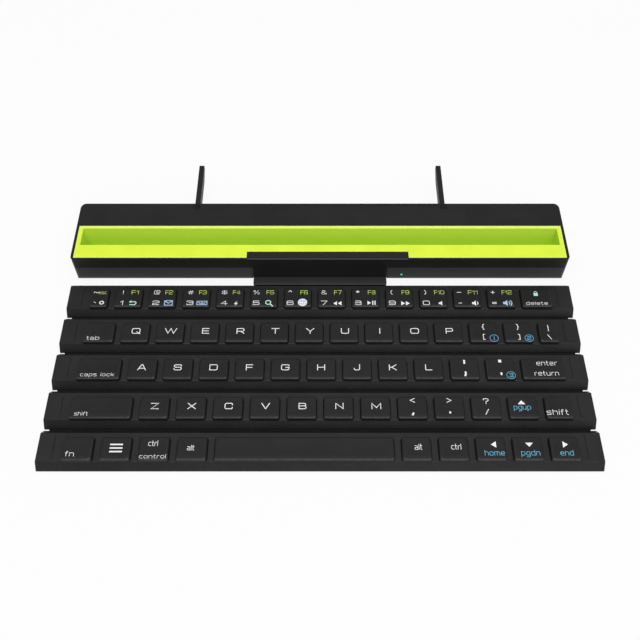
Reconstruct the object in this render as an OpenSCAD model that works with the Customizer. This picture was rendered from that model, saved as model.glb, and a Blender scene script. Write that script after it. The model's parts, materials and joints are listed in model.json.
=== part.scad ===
// Rollable wireless keyboard: five hinged rows of keys that wrap round a bar,
// which holds the electronics, a leaning groove for a tablet and two stand arms.
// Millimetres. +X to the right, +Y from the typist towards the bar, +Z up.
// The origin is on the table, under the middle of the whole open keyboard.

/* [Key rows] */
// Width of a key row
row_w = 262; // [244:1:280]
// Depth of a key row at its base
row_d = 20.5; // [19.5:0.1:22]
// Gap between the bases of neighbouring rows
row_gap = 0.95; // [0.9:0.05:1.4]
// Height of a row's flat top above the table
row_h = 5.0; // [4.8:0.1:5.6]
// Height of the upright edge below a row's bevel
row_edge_h = 2.0; // [1.9:0.1:2.4]
// Run of the bevel along a row's front and rear
row_bevel = 3.0; // [2.6:0.1:3.2]
// Thickness of the tray that closes a row from below
tray_t = 1.0; // [0.9:0.1:1.2]
// Length of the relief under a tray's hinged edges
tray_relief_l = 2.5; // [2.4:0.1:3]
// Height of the relief under a tray's hinged edges
tray_relief_h = 0.5; // [0.45:0.05:0.6]
// Wall of a row's frame at its front, rear and ends
frame_wall = 1.1; // [0.9:0.1:1.3]
// Thickness of a frame's flat top
frame_top_t = 1.0; // [0.8:0.1:1.2]
// Depth of the fine crease across a frame near each end
crease_depth = 0.25; // [0.15:0.05:0.4]

/* [Keys] */
// Distance from a row's end to its first key
end_margin = 11.7; // [10:0.1:14]
// How far the keys stand to the right of the row's middle
key_shift = 0.5; // [0:0.1:1]
// Gap between neighbouring keys
key_gap = 3.65; // [3.2:0.05:4.2]
// Depth of a key from front to rear
key_d = 11.6; // [10.5:0.1:12.4]
// Height of a key above the row's flat top
key_h = 2.0; // [1.8:0.1:2.4]
// Travel of a key
key_travel = 1.5; // [1:0.1:1.5]
// Play between a key and its window, on each side
key_play = 0.3; // [0.2:0.05:0.4]
// Corner radius of a key
key_r = 1.2; // [0.8:0.1:1.6]
// Slope of a key's sides, measured at its top
key_draft = 0.35; // [0.2:0.05:0.5]
// Wall of a key
key_wall = 1.0; // [0.8:0.1:1.2]
// Reach of a key's side tabs under the frame
tab_reach = 0.75; // [0.6:0.05:0.9]

/* [Switch layers] */
// Thickness of the printed circuit in a row
circuit_t = 0.25; // [0.2:0.05:0.35]
// Thickness of the sheet that carries the domes
dome_sheet_t = 0.25; // [0.2:0.05:0.3]
// Radius of a dome at its foot
dome_r = 2.8; // [2.4:0.1:3.2]
// Radius of a dome at its top
dome_top_r = 1.5; // [1.2:0.1:1.8]
// Wall of a dome
dome_wall = 0.4; // [0.3:0.05:0.5]

/* [Hinges] */
// Radius of the bead that a hinge turns about
bead_r = 0.4; // [0.36:0.01:0.42]
// Distance from a row's end to the end of its hinge strip
strip_inset = 2.3; // [1.5:0.1:4]
// Width of the bridge between the bar and the first row
bridge_w = 70.4; // [60:0.1:80]
// Height of the bridge's top above the table
bridge_h = 4.2; // [3.8:0.1:4.6]
// Distance of the bridge's rear hinge behind the bar's front face
bridge_hinge_in = 1.9; // [1.7:0.1:2.2]
// Gap between the first row's base and the bar's front face
bar_gap = 3.7; // [3.5:0.1:4.5]

/* [Bar] */
// Width of the bar
bar_w = 258.5; // [250:0.5:266]
// Depth of the bar
bar_d = 38.5; // [38:0.1:40]
// Height of the bar's top above the table
bar_h = 19.4; // [19:0.1:20.4]
// Height of the bar's upper band, from its top down to the seam
bar_band_h = 7.8; // [7:0.1:8.2]
// Wall of the bar
bar_wall = 1.6; // [1.5:0.1:1.8]
// Thickness of the bar's roof
roof_t = 2.0; // [1.9:0.1:2.2]
// Radius along the bar's lower front edge
front_foot_r = 4.0; // [3:0.1:4.2]
// Radius along the bar's lower rear edge
rear_foot_r = 3.0; // [2:0.1:3.2]
// Radius along the bar's upper edges
top_edge_r = 0.7; // [0.4:0.1:0.8]
// Radius of the bar's upright front corners
front_corner_r = 1.8; // [1:0.1:2.4]
// Radius of the bar's upright rear corners
rear_corner_r = 3.6; // [2:0.1:4]
// How far the bar's feet stand proud
foot_proud = 0.2; // [0.15:0.05:0.4]

/* [Tablet groove] */
// Width of the groove for the tablet
groove_w = 11.2; // [9:0.1:12]
// Depth of the groove
groove_depth = 11.0; // [9:0.1:11.4]
// Lean of the groove's walls from upright, in degrees
groove_lean = 12; // [6:1:14]
// Wall of the groove's insert
groove_wall = 1.2; // [1:0.1:1.4]
// Width of the flat flange in front of the groove
flange_w = 8.6; // [7.6:0.1:9]
// Width of the rim behind the groove
rim_w = 1.7; // [1.4:0.1:2.2]
// Distance from the bar's front face to the insert
insert_front = 0.8; // [0.6:0.1:1]
// Distance from the bar's end to the insert
insert_end = 1.5; // [1.4:0.1:2.5]
// Width of the insert's end walls
insert_end_wall = 2.3; // [1.6:0.1:3]

/* [Bridge cover] */
// Left end of the dark strip on the bar's top edge
cover_left = 37.9; // [36:0.1:44]
// Right end of the dark strip on the bar's top edge
cover_right = 45.8; // [38:0.1:60]
// Depth of the dark strip on the bar's top edge
cover_d = 4.8; // [4:0.1:5.6]
// Thickness of the cover over the bar's front face
cover_t = 1.1; // [0.9:0.1:1.2]
// How far the cover stands proud of the front face
cover_proud = 0.3; // [0.1:0.05:0.4]

/* [Stand arms] */
// Distance of each arm from the middle of the bar
arm_x = 66.6; // [60:0.1:90]
// Thickness of an arm
arm_t = 2.8; // [2.2:0.1:3.2]
// Height of an arm
arm_h = 6.0; // [5:0.1:8]
// Reach of an arm behind the bar
arm_reach = 30.1; // [24:0.1:31]
// Length of the cut on the arm's lower tip
arm_tip_cut = 8.0; // [4:0.5:12]
// Distance of the arm's pivot in front of the bar's rear face
arm_pivot_in = 2.4; // [2.3:0.1:3]
// Radius of the arm's pivot barrel
arm_barrel_r = 2.0; // [1.9:0.1:2.2]
// Radius of the pivot pin
pin_r = 1.2; // [1:0.05:1.3]
// Thickness of the roof over a folded arm
arm_lip_t = 1.8; // [1.6:0.1:2]

/* [Electronics] */
// Radius of the battery cell
cell_r = 5.2; // [4.8:0.1:5.3]
// Length of the battery cell
cell_l = 44.5; // [38:0.5:46]
// Thickness of the bar's circuit board
board_t = 1.0; // [0.8:0.1:1.2]
// Distance of the status light to the right of the middle
light_x = 43.1; // [41:0.1:100]
// Radius of the status light
light_r = 0.7; // [0.5:0.1:0.8]
// Width of the charging socket
socket_w = 7.6; // [7:0.1:9]
// Height of the charging socket
socket_h = 2.85; // [2.6:0.05:3]
// Length of the charging socket
socket_l = 5.5; // [5:0.1:6]

/* [Hidden] */
$fn = 48;

rows = 5;
eps = 0.01;
shell_clear = 0.05;
run_clear = 0.05;
swing_clear = 0.3;

// Rows run from 1, next to the bar, to 5, next to the typist
row_pitch = row_d + row_gap;
overall_d = (rows - 1) * row_pitch + row_d + bar_gap + bar_d + arm_reach;
front_y = -overall_d / 2;
bar_y = front_y + (rows - 1) * row_pitch + row_d + bar_gap;
bar_rear_y = bar_y + bar_d;
function row_y(r) = front_y + (rows - r) * row_pitch;

// Hinge lines lie in the bottom skin, half a strip above the table
axis_z = bead_r;
axis_off = row_gap / 2;
bridge_front_y = bar_y - bar_gap + axis_off;
bridge_rear_y = bar_y + bridge_hinge_in;
strip_w = row_w - 2 * strip_inset;
neck_low = tray_relief_h;
neck_high = 2 * bead_r;

// Keys are laid out in units of one key pitch, as on any keyboard
units_across = 13.8;
keys_w = row_w - 2 * end_margin;
key_pitch = (keys_w + key_gap) / units_across;
grave_u = 0.715;
tab_u = 1.06;
caps_u = 1.405;
shift_u = 1.875;
cluster_u = 0.975;
function ones(n) = [for (i = [1:n]) 1];
function sum_to(v, n) = n <= 0 ? 0 : v[n - 1] + sum_to(v, n - 1);
function closed(v) = concat(v, [units_across - sum_to(v, len(v))]);
function spaced(v, w) = concat(v, [units_across - sum_to(v, len(v)) - sum_to(w, len(w))], w);
row_units = [
    closed(concat([grave_u], ones(12))),
    closed(concat([tab_u], ones(12))),
    closed(concat([caps_u], ones(11))),
    closed(concat([shift_u], ones(11))),
    spaced(ones(4), [for (i = [1:5]) cluster_u])
];
// Places in a row of the keys that are pieces of their own
own_keys = [[13], [0], [0, 12], [0, 11, 12], [0, 4, 7, 8, 9]];
function key_count(r) = len(row_units[r - 1]);
function key_w(r, i) = row_units[r - 1][i] * key_pitch - key_gap;
function key_x(r, i) = key_shift - keys_w / 2 + sum_to(row_units[r - 1], i) * key_pitch + key_w(r, i) / 2;
function is_own(r, i) = len([for (k = own_keys[r - 1]) if (k == i) k]) > 0;

// Heights inside a row
circuit_z = tray_t;
dome_z = circuit_z + circuit_t;
dome_foot_z = dome_z + dome_sheet_t;
key_bottom_z = dome_foot_z + key_travel + 0.2;
dome_gap = 0.05;
dome_top_z = key_bottom_z - 0.1;
key_top_z = row_h + key_h;
under_frame_z = row_h - frame_top_t;
tab_t = under_frame_z - key_bottom_z - 0.2;
key_front = row_bevel;
crease_x = keys_w / 2 + 4.3;
crease_w = 0.35;
crease_inset = 1.2;
layer_w = keys_w + 2 * (tab_reach + run_clear);
layer_inset = frame_wall + 1.0;
plunger_r = 1.2;
tab_inset = 2.0;

// Heights and places in the bar
bar_bottom_z = foot_proud;
seam_z = bar_h - bar_band_h;
roof_z = bar_h - roof_t;
floor_t = 1.4;
floor_z = bar_bottom_z + floor_t;
insert_top = bar_h;
insert_w = bar_w - 2 * insert_end;
insert_d = flange_w + groove_w + rim_w;
flange_t = 1.2;
ledge_w = 1.1;
groove_l = insert_w - 2 * insert_end_wall;
groove_floor_z = bar_h - groove_depth;
groove_shift = groove_depth * tan(groove_lean);
groove_front = insert_front + flange_w;
cover_low_z = bridge_h + swing_clear;
notch_rear = bridge_hinge_in + axis_off;
bridge_swing_side = 0.4;

// The arms fold into pockets that open through the bar's rear face
arm_top_z = bar_h - arm_lip_t - run_clear * 3;
arm_low_z = arm_top_z - arm_h;
pocket_top_z = bar_h - arm_lip_t;
pocket_low_z = arm_low_z - run_clear * 3;
pocket_wall = 1.0;
arm_l = arm_pivot_in + arm_reach;
pocket_in = arm_pivot_in + arm_barrel_r + swing_clear;
pocket_outer = arm_x + arm_barrel_r + swing_clear;
pocket_inner = arm_x - arm_l - swing_clear * 2;
pin_head_r = 1.7;
pin_head_t = 0.8;
pin_low_z = pocket_low_z - 2.0;
arm_tip_low = 0.62;

// Screws, feet, magnets and electronics
screw_x = [-100, -28, 28, 100];
screw_y = bar_rear_y - 5.0;
screw_r = 1.0;
screw_head_r = 1.9;
screw_head_t = 1.1;
screw_hole_r = screw_r + run_clear;
boss_r = 2.6;
foot_t = 1.0;
foot_l = 14;
foot_w = 4.5;
foot_x = 112;
foot_front_y = bar_y + 9;
foot_rear_y = bar_rear_y - 9;
magnet_l = 6;
magnet_d = 5;
magnet_t = 2.4;
magnet_x = insert_w / 2 - ledge_w - magnet_l / 2 - swing_clear;
row_magnet_x = layer_w / 2 + magnet_l / 2 + swing_clear;
cell_y = bar_rear_y - bar_wall - 1.2 - cell_r;
cell_z = floor_z + 2.6 + cell_r;
cradle_t = 3;
contact_t = 0.5;
contact_w = 8;
board_front = 4.2;
board_d = 13.6;
board_z = floor_z + 4.0;
board_left = 8;
board_right = bar_w / 2 - bar_wall - 1.2;
post_r = 1.5;
socket_y = bar_y + 11;
socket_wall = 0.3;
socket_sunk = 0.2;
light_z = board_z + board_t / 2;

// A rectangle with round corners, its centre at the origin
module round_rect(w, d, r) {
    square([w - 2 * r, d], center = true);
    square([w, d - 2 * r], center = true);
    for (sx = [-1, 1], sy = [-1, 1])
        translate([sx * (w / 2 - r), sy * (d / 2 - r)])
            circle(r);
}

// What a round corner of radius r removes from a square corner at the origin
module corner_cut(r) {
    difference() {
        translate([-1, -1])
            square(r + 1);
        translate([r, r])
            circle(r);
    }
}

// Extrudes an outline drawn in Y and Z along X, centred on x
module along_x(w, x = 0) {
    translate([x - w / 2, 0, 0])
        rotate([90, 0, 90])
            linear_extrude(w)
                children();
}

// A block given by its lowest and highest corners
module block(low, high) {
    translate(low)
        cube(high - low);
}

// A row's outer outline above its tray
module row_outline() {
    polygon([
        [0, tray_t], [0, row_edge_h], [row_bevel, row_h], [row_d - row_bevel, row_h],
        [row_d, row_edge_h], [row_d, tray_t]
    ]);
}

// The hollow inside a row's frame
module row_hollow() {
    slope = row_bevel / (row_h - row_edge_h);
    side = frame_wall * sqrt(1 + slope * slope);
    top_y = side + (under_frame_z - row_edge_h) * slope;
    low_z = row_edge_h - (side - frame_wall) / slope;
    polygon([
        [frame_wall, tray_t - 1], [frame_wall, low_z], [top_y, under_frame_z],
        [row_d - top_y, under_frame_z], [row_d - frame_wall, low_z], [row_d - frame_wall, tray_t - 1]
    ]);
}

module row_frame(r) {
    color("#2c2c2e")
        difference() {
            translate([0, row_y(r), 0])
                along_x(row_w)
                    row_outline();
            translate([0, row_y(r), 0])
                along_x(row_w - 2 * frame_wall)
                    row_hollow();
            for (i = [0:key_count(r) - 1])
                translate([key_x(r, i), row_y(r) + key_front + key_d / 2, under_frame_z - 2])
                    linear_extrude(row_h)
                        round_rect(key_w(r, i) + 2 * key_play, key_d + 2 * key_play, key_r + key_play);
            for (s = [-1, 1])
                block([s * crease_x - crease_w / 2, row_y(r) + row_bevel + crease_inset, row_h - crease_depth],
                      [s * crease_x + crease_w / 2, row_y(r) + row_d - row_bevel - crease_inset, row_h + 1]);
        }
}

// The tray's hinged edges are relieved below, so that folded rows clear each other
module row_tray(r) {
    color("#262628")
        translate([0, row_y(r), 0])
            along_x(row_w)
                polygon([
                    [tray_relief_l, 0], [0, tray_relief_h], [0, tray_t], [row_d, tray_t],
                    [row_d, tray_relief_h], [row_d - tray_relief_l, 0]
                ]);
}

module row_circuit(r) {
    color("#3f6b4a")
        block([key_shift - layer_w / 2, row_y(r) + layer_inset, circuit_z],
              [key_shift + layer_w / 2, row_y(r) + row_d - layer_inset, circuit_z + circuit_t]);
}

// A sheet with one hollow dome under each key
module row_domes(r) {
    color("#b9b9b4")
        difference() {
            union() {
                block([key_shift - layer_w / 2, row_y(r) + layer_inset, dome_z],
                      [key_shift + layer_w / 2, row_y(r) + row_d - layer_inset, dome_foot_z]);
                for (i = [0:key_count(r) - 1])
                    translate([key_x(r, i), row_y(r) + key_front + key_d / 2, dome_foot_z - eps])
                        cylinder(h = dome_top_z - dome_foot_z + eps, r1 = dome_r, r2 = dome_top_r);
            }
            for (i = [0:key_count(r) - 1])
                translate([key_x(r, i), row_y(r) + key_front + key_d / 2, dome_z - 1])
                    cylinder(h = dome_top_z - dome_z - dome_wall + 1, r1 = dome_r, r2 = dome_top_r - dome_wall);
        }
}

// A hollow cap with round corners and sloping sides, a plunger and two side tabs
module keycap(r, i) {
    w = key_w(r, i);
    h = key_top_z - key_bottom_z;
    translate([key_x(r, i), row_y(r) + key_front + key_d / 2, key_bottom_z])
        color("#2f2f31")
            union() {
                difference() {
                    intersection() {
                        linear_extrude(h)
                            round_rect(w, key_d, key_r);
                        translate([0, key_d / 2 + 1, 0])
                            rotate([90, 0, 0])
                                linear_extrude(key_d + 2)
                                    key_slope(w, h);
                        along_x(w + 2)
                            key_slope(key_d, h);
                    }
                    translate([0, 0, -1])
                        linear_extrude(h - key_wall + 1)
                            square([w - 2 * (key_wall + key_draft), key_d - 2 * (key_wall + key_draft)], center = true);
                }
                translate([0, 0, dome_gap - 0.1])
                    cylinder(h = h - key_wall + 0.1 - dome_gap + eps, r = plunger_r);
                for (s = [-1, 1])
                    translate([s * (w / 2 + (tab_reach - key_wall) / 2), tab_inset / 2, tab_t / 2])
                        cube([tab_reach + key_wall, key_d - 2 * key_r - tab_inset, tab_t], center = true);
            }
}

// Upright below the frame's top, then sloping in by the draft
module key_slope(w, h) {
    polygon([
        [-w / 2, 0], [w / 2, 0], [w / 2, h - key_h],
        [w / 2 - key_draft, h], [-w / 2 + key_draft, h], [-w / 2, h - key_h]
    ]);
}

// The keys of a row that share one piece
module row_keys(r) {
    for (i = [0:key_count(r) - 1])
        if (!is_own(r, i))
            keycap(r, i);
}

module row_5_magnets() {
    color("#9a9aa0")
        for (s = [-1, 1])
            translate([key_shift + s * row_magnet_x, row_y(5) + row_d / 2, tray_t + magnet_t / 2])
                cube([magnet_l, magnet_d, magnet_t], center = true);
}

// A bead on the hinge line, with a neck that is bonded to the piece behind it
module hinge_strip(w, y) {
    color("#1d1d1f") {
        translate([-w / 2, y, axis_z])
            rotate([0, 90, 0])
                cylinder(h = w, r = bead_r);
        block([-w / 2, y, neck_low], [w / 2, y + axis_off, neck_high]);
    }
}

// The short flap that carries the first row; its front edge follows the row's bevel
module bridge_link() {
    front = bridge_front_y + axis_off;
    rear = bridge_rear_y - axis_off;
    slope_gap = swing_clear + 0.1;
    low_z = row_edge_h - row_gap + slope_gap * sqrt(2);
    color("#2a2a2c")
        along_x(bridge_w)
            polygon([
                [front + tray_relief_l, 0], [front, tray_relief_h], [front, low_z],
                [front - (bridge_h - low_z), bridge_h], [rear, bridge_h],
                [rear, tray_relief_h], [rear - tray_relief_h, 0]
            ]);
}

// The bar's outline in Y and Z, seen from its end
module bar_section() {
    difference() {
        translate([bar_y, bar_bottom_z])
            square([bar_d, bar_h - bar_bottom_z]);
        translate([bar_y, bar_bottom_z])
            corner_cut(front_foot_r);
        translate([bar_rear_y, bar_bottom_z])
            mirror([1, 0])
                corner_cut(rear_foot_r);
        translate([bar_y, bar_h])
            mirror([0, 1])
                corner_cut(top_edge_r);
        translate([bar_rear_y, bar_h])
            rotate(180)
                corner_cut(top_edge_r);
    }
}

// The bar's outline seen from above
module bar_plan() {
    difference() {
        translate([-bar_w / 2, bar_y])
            square([bar_w, bar_d]);
        for (m = [0, 1])
            mirror([m, 0]) {
                translate([-bar_w / 2, bar_y])
                    corner_cut(front_corner_r);
                translate([-bar_w / 2, bar_rear_y])
                    mirror([0, 1])
                        corner_cut(rear_corner_r);
            }
    }
}

module bar_outer() {
    intersection() {
        along_x(bar_w)
            bar_section();
        linear_extrude(bar_h + 1)
            bar_plan();
    }
}

module bar_hollow() {
    along_x(bar_w - 2 * bar_wall)
        polygon([
            [bar_y + bar_wall, bar_bottom_z + front_foot_r],
            [bar_y + front_foot_r, floor_z],
            [bar_rear_y - rear_foot_r, floor_z],
            [bar_rear_y - bar_wall, bar_bottom_z + rear_foot_r],
            [bar_rear_y - bar_wall, roof_z],
            [bar_y + bar_wall, roof_z]
        ]);
}

// The space that a folded arm takes, with side -1 for the left arm
module arm_pocket(side, wall, open) {
    mid = side * (pocket_outer + pocket_inner) / 2;
    w = pocket_outer - pocket_inner + 2 * wall;
    block([mid - w / 2, bar_rear_y - pocket_in - wall, pocket_low_z - wall],
          [mid + w / 2, bar_rear_y + open, pocket_top_z + wall]);
}

// What stands inside the bar and is moulded with it
module bar_inside() {
    for (side = [-1, 1]) {
        arm_pocket(side, pocket_wall, 0);
        translate([side * arm_x, bar_rear_y - arm_pivot_in, floor_z - eps])
            cylinder(h = pocket_low_z - floor_z, r = pin_head_r + 0.6);
    }
    for (x = screw_x)
        translate([x, screw_y, floor_z - eps])
            cylinder(h = roof_z - floor_z + 2 * eps, r = boss_r);
    block([-bridge_w / 2 - bar_wall, bar_y + bar_wall / 2, floor_z - eps],
          [bridge_w / 2 + bar_wall, bar_y + notch_rear + 1.2, cover_low_z + bar_wall]);
    for (x = [board_left + 3, board_right - 12], y = [board_front + 2.5, board_front + board_d - 2.5])
        translate([x, bar_y + y, floor_z - eps])
            cylinder(h = board_z - floor_z + eps, r = post_r);
    for (s = [-1, 1])
        difference() {
            block([s * cell_l / 3 - cradle_t / 2, cell_y - cell_r, floor_z - eps],
                  [s * cell_l / 3 + cradle_t / 2, cell_y + cell_r, cell_z - 1]);
            translate([s * cell_l / 3 - cradle_t, cell_y, cell_z])
                rotate([0, 90, 0])
                    cylinder(h = 2 * cradle_t, r = cell_r);
        }
    for (s = [-1, 1])
        block([s * (cell_l / 2 + contact_t + 1.2) - 1.2, cell_y - contact_w / 2, floor_z - eps],
              [s * (cell_l / 2 + contact_t + 1.2) + 1.2, cell_y + contact_w / 2, cell_z]);
}

// Everything that is cut out of the bar's two shells
module bar_cuts() {
    for (side = [-1, 1]) {
        arm_pocket(side, 0, 1);
        translate([side * arm_x, bar_rear_y - arm_pivot_in, pin_low_z])
            cylinder(h = bar_h, r = pin_r + run_clear);
        translate([side * arm_x, bar_rear_y - arm_pivot_in, bar_h - pin_head_t])
            cylinder(h = pin_head_t + 1, r = pin_head_r + run_clear);
    }
    for (x = screw_x) {
        translate([x, screw_y, -1])
            cylinder(h = roof_z, r = screw_hole_r);
        translate([x, screw_y, -1])
            cylinder(h = 1 + bar_bottom_z + screw_head_t + 0.3, r = screw_head_r + run_clear * 2);
    }
    block([-bridge_w / 2 - bridge_swing_side, bar_y - 1, -1],
          [bridge_w / 2 + bridge_swing_side, bar_y + notch_rear, cover_low_z]);
    bridge_cover_space(shell_clear);
    insert_space(shell_clear);
    for (x = [-foot_x, foot_x], y = [foot_front_y, foot_rear_y])
        translate([x, y, -1])
            linear_extrude(1 + foot_t)
                round_rect(foot_l + 2 * shell_clear, foot_w + 2 * shell_clear, foot_w / 2);
    translate([light_x, bar_y - 1, light_z])
        rotate([-90, 0, 0])
            cylinder(h = 1 + front_foot_r, r = light_r + shell_clear);
    block([bar_w / 2 - bar_wall - 1, socket_y - socket_w / 2 - shell_clear, board_z - socket_h - shell_clear],
          [bar_w / 2 + 1, socket_y + socket_w / 2 + shell_clear, board_z + shell_clear]);
}

// The recess for the bridge cover, with clearance c
module bridge_cover_space(c) {
    block([-cover_left - c, bar_y - 1, bar_h - flange_t],
          [cover_right + c, bar_y + cover_d + c, bar_h + 1]);
    block([-bridge_w / 2 - c, bar_y - 1, cover_low_z - c],
          [bridge_w / 2 + c, bar_y + cover_t - cover_proud, bar_h + 1]);
}

// The opening for the groove's insert, with a ledge under its flange
module insert_space(c) {
    y = bar_y + insert_front;
    block([-insert_w / 2 - c, y - c, bar_h - flange_t],
          [insert_w / 2 + c, y + insert_d + c, bar_h + 1]);
    block([-insert_w / 2 + ledge_w, y + ledge_w, roof_z - 1],
          [insert_w / 2 - ledge_w, y + insert_d - rim_w + groove_wall + c, bar_h + 1]);
}

module bar_base() {
    color("#353537")
        intersection() {
            bar_moulding();
            block([-bar_w, bar_y - 1, -1], [bar_w, bar_rear_y + 1, seam_z]);
        }
}

module bar_top_shell() {
    color("#2a2a2c")
        intersection() {
            bar_moulding();
            block([-bar_w, bar_y - 1, seam_z], [bar_w, bar_rear_y + 1, bar_h + 1]);
        }
}

module bar_moulding() {
    difference() {
        union() {
            difference() {
                bar_outer();
                bar_hollow();
            }
            intersection() {
                bar_outer();
                bar_inside();
            }
        }
        bar_cuts();
    }
}

// A leaning channel with a flat flange round it
module tablet_groove() {
    y = bar_y + insert_front;
    lean = tan(groove_lean);
    low = groove_floor_z - groove_wall;
    low_shift = (bar_h - low) * lean;
    under_shift = flange_t * lean;
    under = bar_h - flange_t;
    front = bar_y + groove_front;
    rear = front + groove_w;
    channel_w = insert_w - 2 * ledge_w - 2 * shell_clear;
    color("#a8dc1e")
        difference() {
            union() {
                block([-insert_w / 2, y, under], [insert_w / 2, y + insert_d, bar_h]);
                along_x(channel_w)
                    polygon([
                        [front - groove_wall - under_shift, under + eps],
                        [front - groove_wall - low_shift, low],
                        [rear + groove_wall - low_shift, low],
                        [rear + groove_wall - under_shift, under + eps]
                    ]);
            }
            along_x(groove_l)
                polygon([
                    [front + lean, bar_h + 1],
                    [front - groove_shift, groove_floor_z],
                    [rear - groove_shift, groove_floor_z],
                    [rear + lean, bar_h + 1]
                ]);
            bridge_cover_space(shell_clear);
        }
}

// The dark cover that runs over the top edge and down the front to the bridge
module bridge_cover() {
    color("#161617") {
        block([-cover_left, bar_y - cover_proud, bar_h - flange_t],
              [cover_right, bar_y + cover_d, bar_h]);
        block([-bridge_w / 2, bar_y - cover_proud, cover_low_z],
              [bridge_w / 2, bar_y + cover_t - cover_proud, bar_h - flange_t + eps]);
    }
}

module bar_feet() {
    color("#3a3a3a")
        for (x = [-foot_x, foot_x], y = [foot_front_y, foot_rear_y])
            translate([x, y, 0])
                linear_extrude(foot_t)
                    round_rect(foot_l, foot_w, foot_w / 2 - shell_clear);
}

module bar_screws() {
    color("#8d8f94")
        for (x = screw_x)
            translate([x, screw_y, bar_bottom_z + 0.3])
                union() {
                    cylinder(h = screw_head_t, r = screw_head_r);
                    cylinder(h = roof_z - bar_bottom_z - 2.4, r = screw_r);
                }
}

module bar_magnets() {
    color("#9a9aa0")
        for (s = [-1, 1])
            translate([s * magnet_x - magnet_l / 2, bar_y + bar_wall + 0.6, bar_h - flange_t - magnet_t])
                cube([magnet_l, magnet_d - 0.6, magnet_t]);
}

module arm_pivot_pins() {
    color("#77797e")
        for (side = [-1, 1])
            translate([side * arm_x, bar_rear_y - arm_pivot_in, 0])
                union() {
                    translate([0, 0, pin_low_z])
                        cylinder(h = bar_h - pin_low_z, r = pin_r);
                    translate([0, 0, bar_h - pin_head_t])
                        cylinder(h = pin_head_t, r = pin_head_r);
                }
}

// A thin blade on an upright pivot, with its lower tip corner cut away
module stand_arm(side) {
    color("#1f1f21")
        translate([side * arm_x, bar_rear_y - arm_pivot_in, 0])
            difference() {
                union() {
                    translate([0, 0, arm_low_z])
                        cylinder(h = arm_h, r = arm_barrel_r);
                    along_x(arm_t)
                        polygon([
                            [0, arm_low_z], [arm_l - arm_tip_cut, arm_low_z],
                            [arm_l, arm_low_z + arm_h * arm_tip_low], [arm_l, arm_top_z], [0, arm_top_z]
                        ]);
                }
                translate([0, 0, arm_low_z - 1])
                    cylinder(h = arm_h + 2, r = pin_r + run_clear);
            }
}

module battery_cell() {
    color("#7d8a96")
        translate([-cell_l / 2, cell_y, cell_z])
            rotate([0, 90, 0])
                cylinder(h = cell_l, r = cell_r);
}

module battery_contacts() {
    color("#b59a5a")
        for (s = [-1, 1])
            translate([s * (cell_l / 2 + contact_t / 2), cell_y, floor_z + (cell_z - floor_z + cell_r) / 2])
                cube([contact_t, contact_w, cell_z - floor_z + cell_r], center = true);
}

module bar_circuit_board() {
    color("#2f6b3c")
        block([board_left, bar_y + board_front, board_z],
              [board_right, bar_y + board_front + board_d, board_z + board_t]);
}

// A hollow metal socket with a tongue, under the end of the circuit board
module charging_socket() {
    right = bar_w / 2 - socket_sunk;
    mid_z = board_z - socket_h / 2;
    color("#c0c2c6")
        union() {
            difference() {
                block([right - socket_l, socket_y - socket_w / 2, board_z - socket_h],
                      [right, socket_y + socket_w / 2, board_z]);
                block([right - socket_l + 1, socket_y - socket_w / 2 + socket_wall, board_z - socket_h + socket_wall],
                      [right + 1, socket_y + socket_w / 2 - socket_wall, board_z - socket_wall]);
            }
            block([right - socket_l + 1 - eps, socket_y - socket_w / 4, mid_z - 0.25],
                  [right - 1.2, socket_y + socket_w / 4, mid_z + 0.25]);
        }
}

module status_light() {
    color("#59d6b0")
        translate([light_x, bar_y, light_z])
            rotate([-90, 0, 0])
                cylinder(h = board_front, r = light_r);
}

bar_base();
bar_top_shell();
tablet_groove();
bridge_cover();
bar_feet();
bar_screws();
bar_magnets();
arm_pivot_pins();
battery_cell();
battery_contacts();
bar_circuit_board();
charging_socket();
status_light();
stand_arm(-1);  // left_stand_arm
stand_arm(1);  // right_stand_arm
bridge_link();
hinge_strip(bridge_w, bridge_rear_y);  // bridge_rear_strip
hinge_strip(bridge_w, bridge_front_y);  // bridge_front_strip
hinge_strip(strip_w, row_y(1) - axis_off);  // hinge_strip_1_2
hinge_strip(strip_w, row_y(2) - axis_off);  // hinge_strip_2_3
hinge_strip(strip_w, row_y(3) - axis_off);  // hinge_strip_3_4
hinge_strip(strip_w, row_y(4) - axis_off);  // hinge_strip_4_5
row_tray(1);  // row_1_tray
row_frame(1);  // row_1_frame
row_circuit(1);  // row_1_circuit
row_domes(1);  // row_1_domes
row_tray(2);  // row_2_tray
row_frame(2);  // row_2_frame
row_circuit(2);  // row_2_circuit
row_domes(2);  // row_2_domes
row_tray(3);  // row_3_tray
row_frame(3);  // row_3_frame
row_circuit(3);  // row_3_circuit
row_domes(3);  // row_3_domes
row_tray(4);  // row_4_tray
row_frame(4);  // row_4_frame
row_circuit(4);  // row_4_circuit
row_domes(4);  // row_4_domes
row_tray(5);  // row_5_tray
row_frame(5);  // row_5_frame
row_circuit(5);  // row_5_circuit
row_domes(5);  // row_5_domes
row_5_magnets();
row_keys(1);  // row_1_keys
row_keys(2);  // row_2_keys
row_keys(3);  // row_3_keys
row_keys(4);  // row_4_keys
row_keys(5);  // row_5_keys
keycap(1, 13);  // delete_key
keycap(2, 0);  // tab_key
keycap(3, 0);  // caps_lock_key
keycap(3, 12);  // enter_key
keycap(4, 0);  // left_shift_key
keycap(4, 11);  // up_arrow_key
keycap(4, 12);  // right_shift_key
keycap(5, 0);  // fn_key
keycap(5, 4);  // space_key
keycap(5, 7);  // left_arrow_key
keycap(5, 8);  // down_arrow_key
keycap(5, 9);  // right_arrow_key
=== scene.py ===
"""Rollable wireless keyboard: five hinged rows of keys, a bar with a tablet groove and two stand arms.

Lengths are written in millimetres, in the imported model's frame, and turned into metres when a mesh is made.
"""

import json
import logging
import math
from dataclasses import dataclass, field
from enum import Enum
from typing import Callable, Iterable, Optional, Sequence, Union

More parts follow.
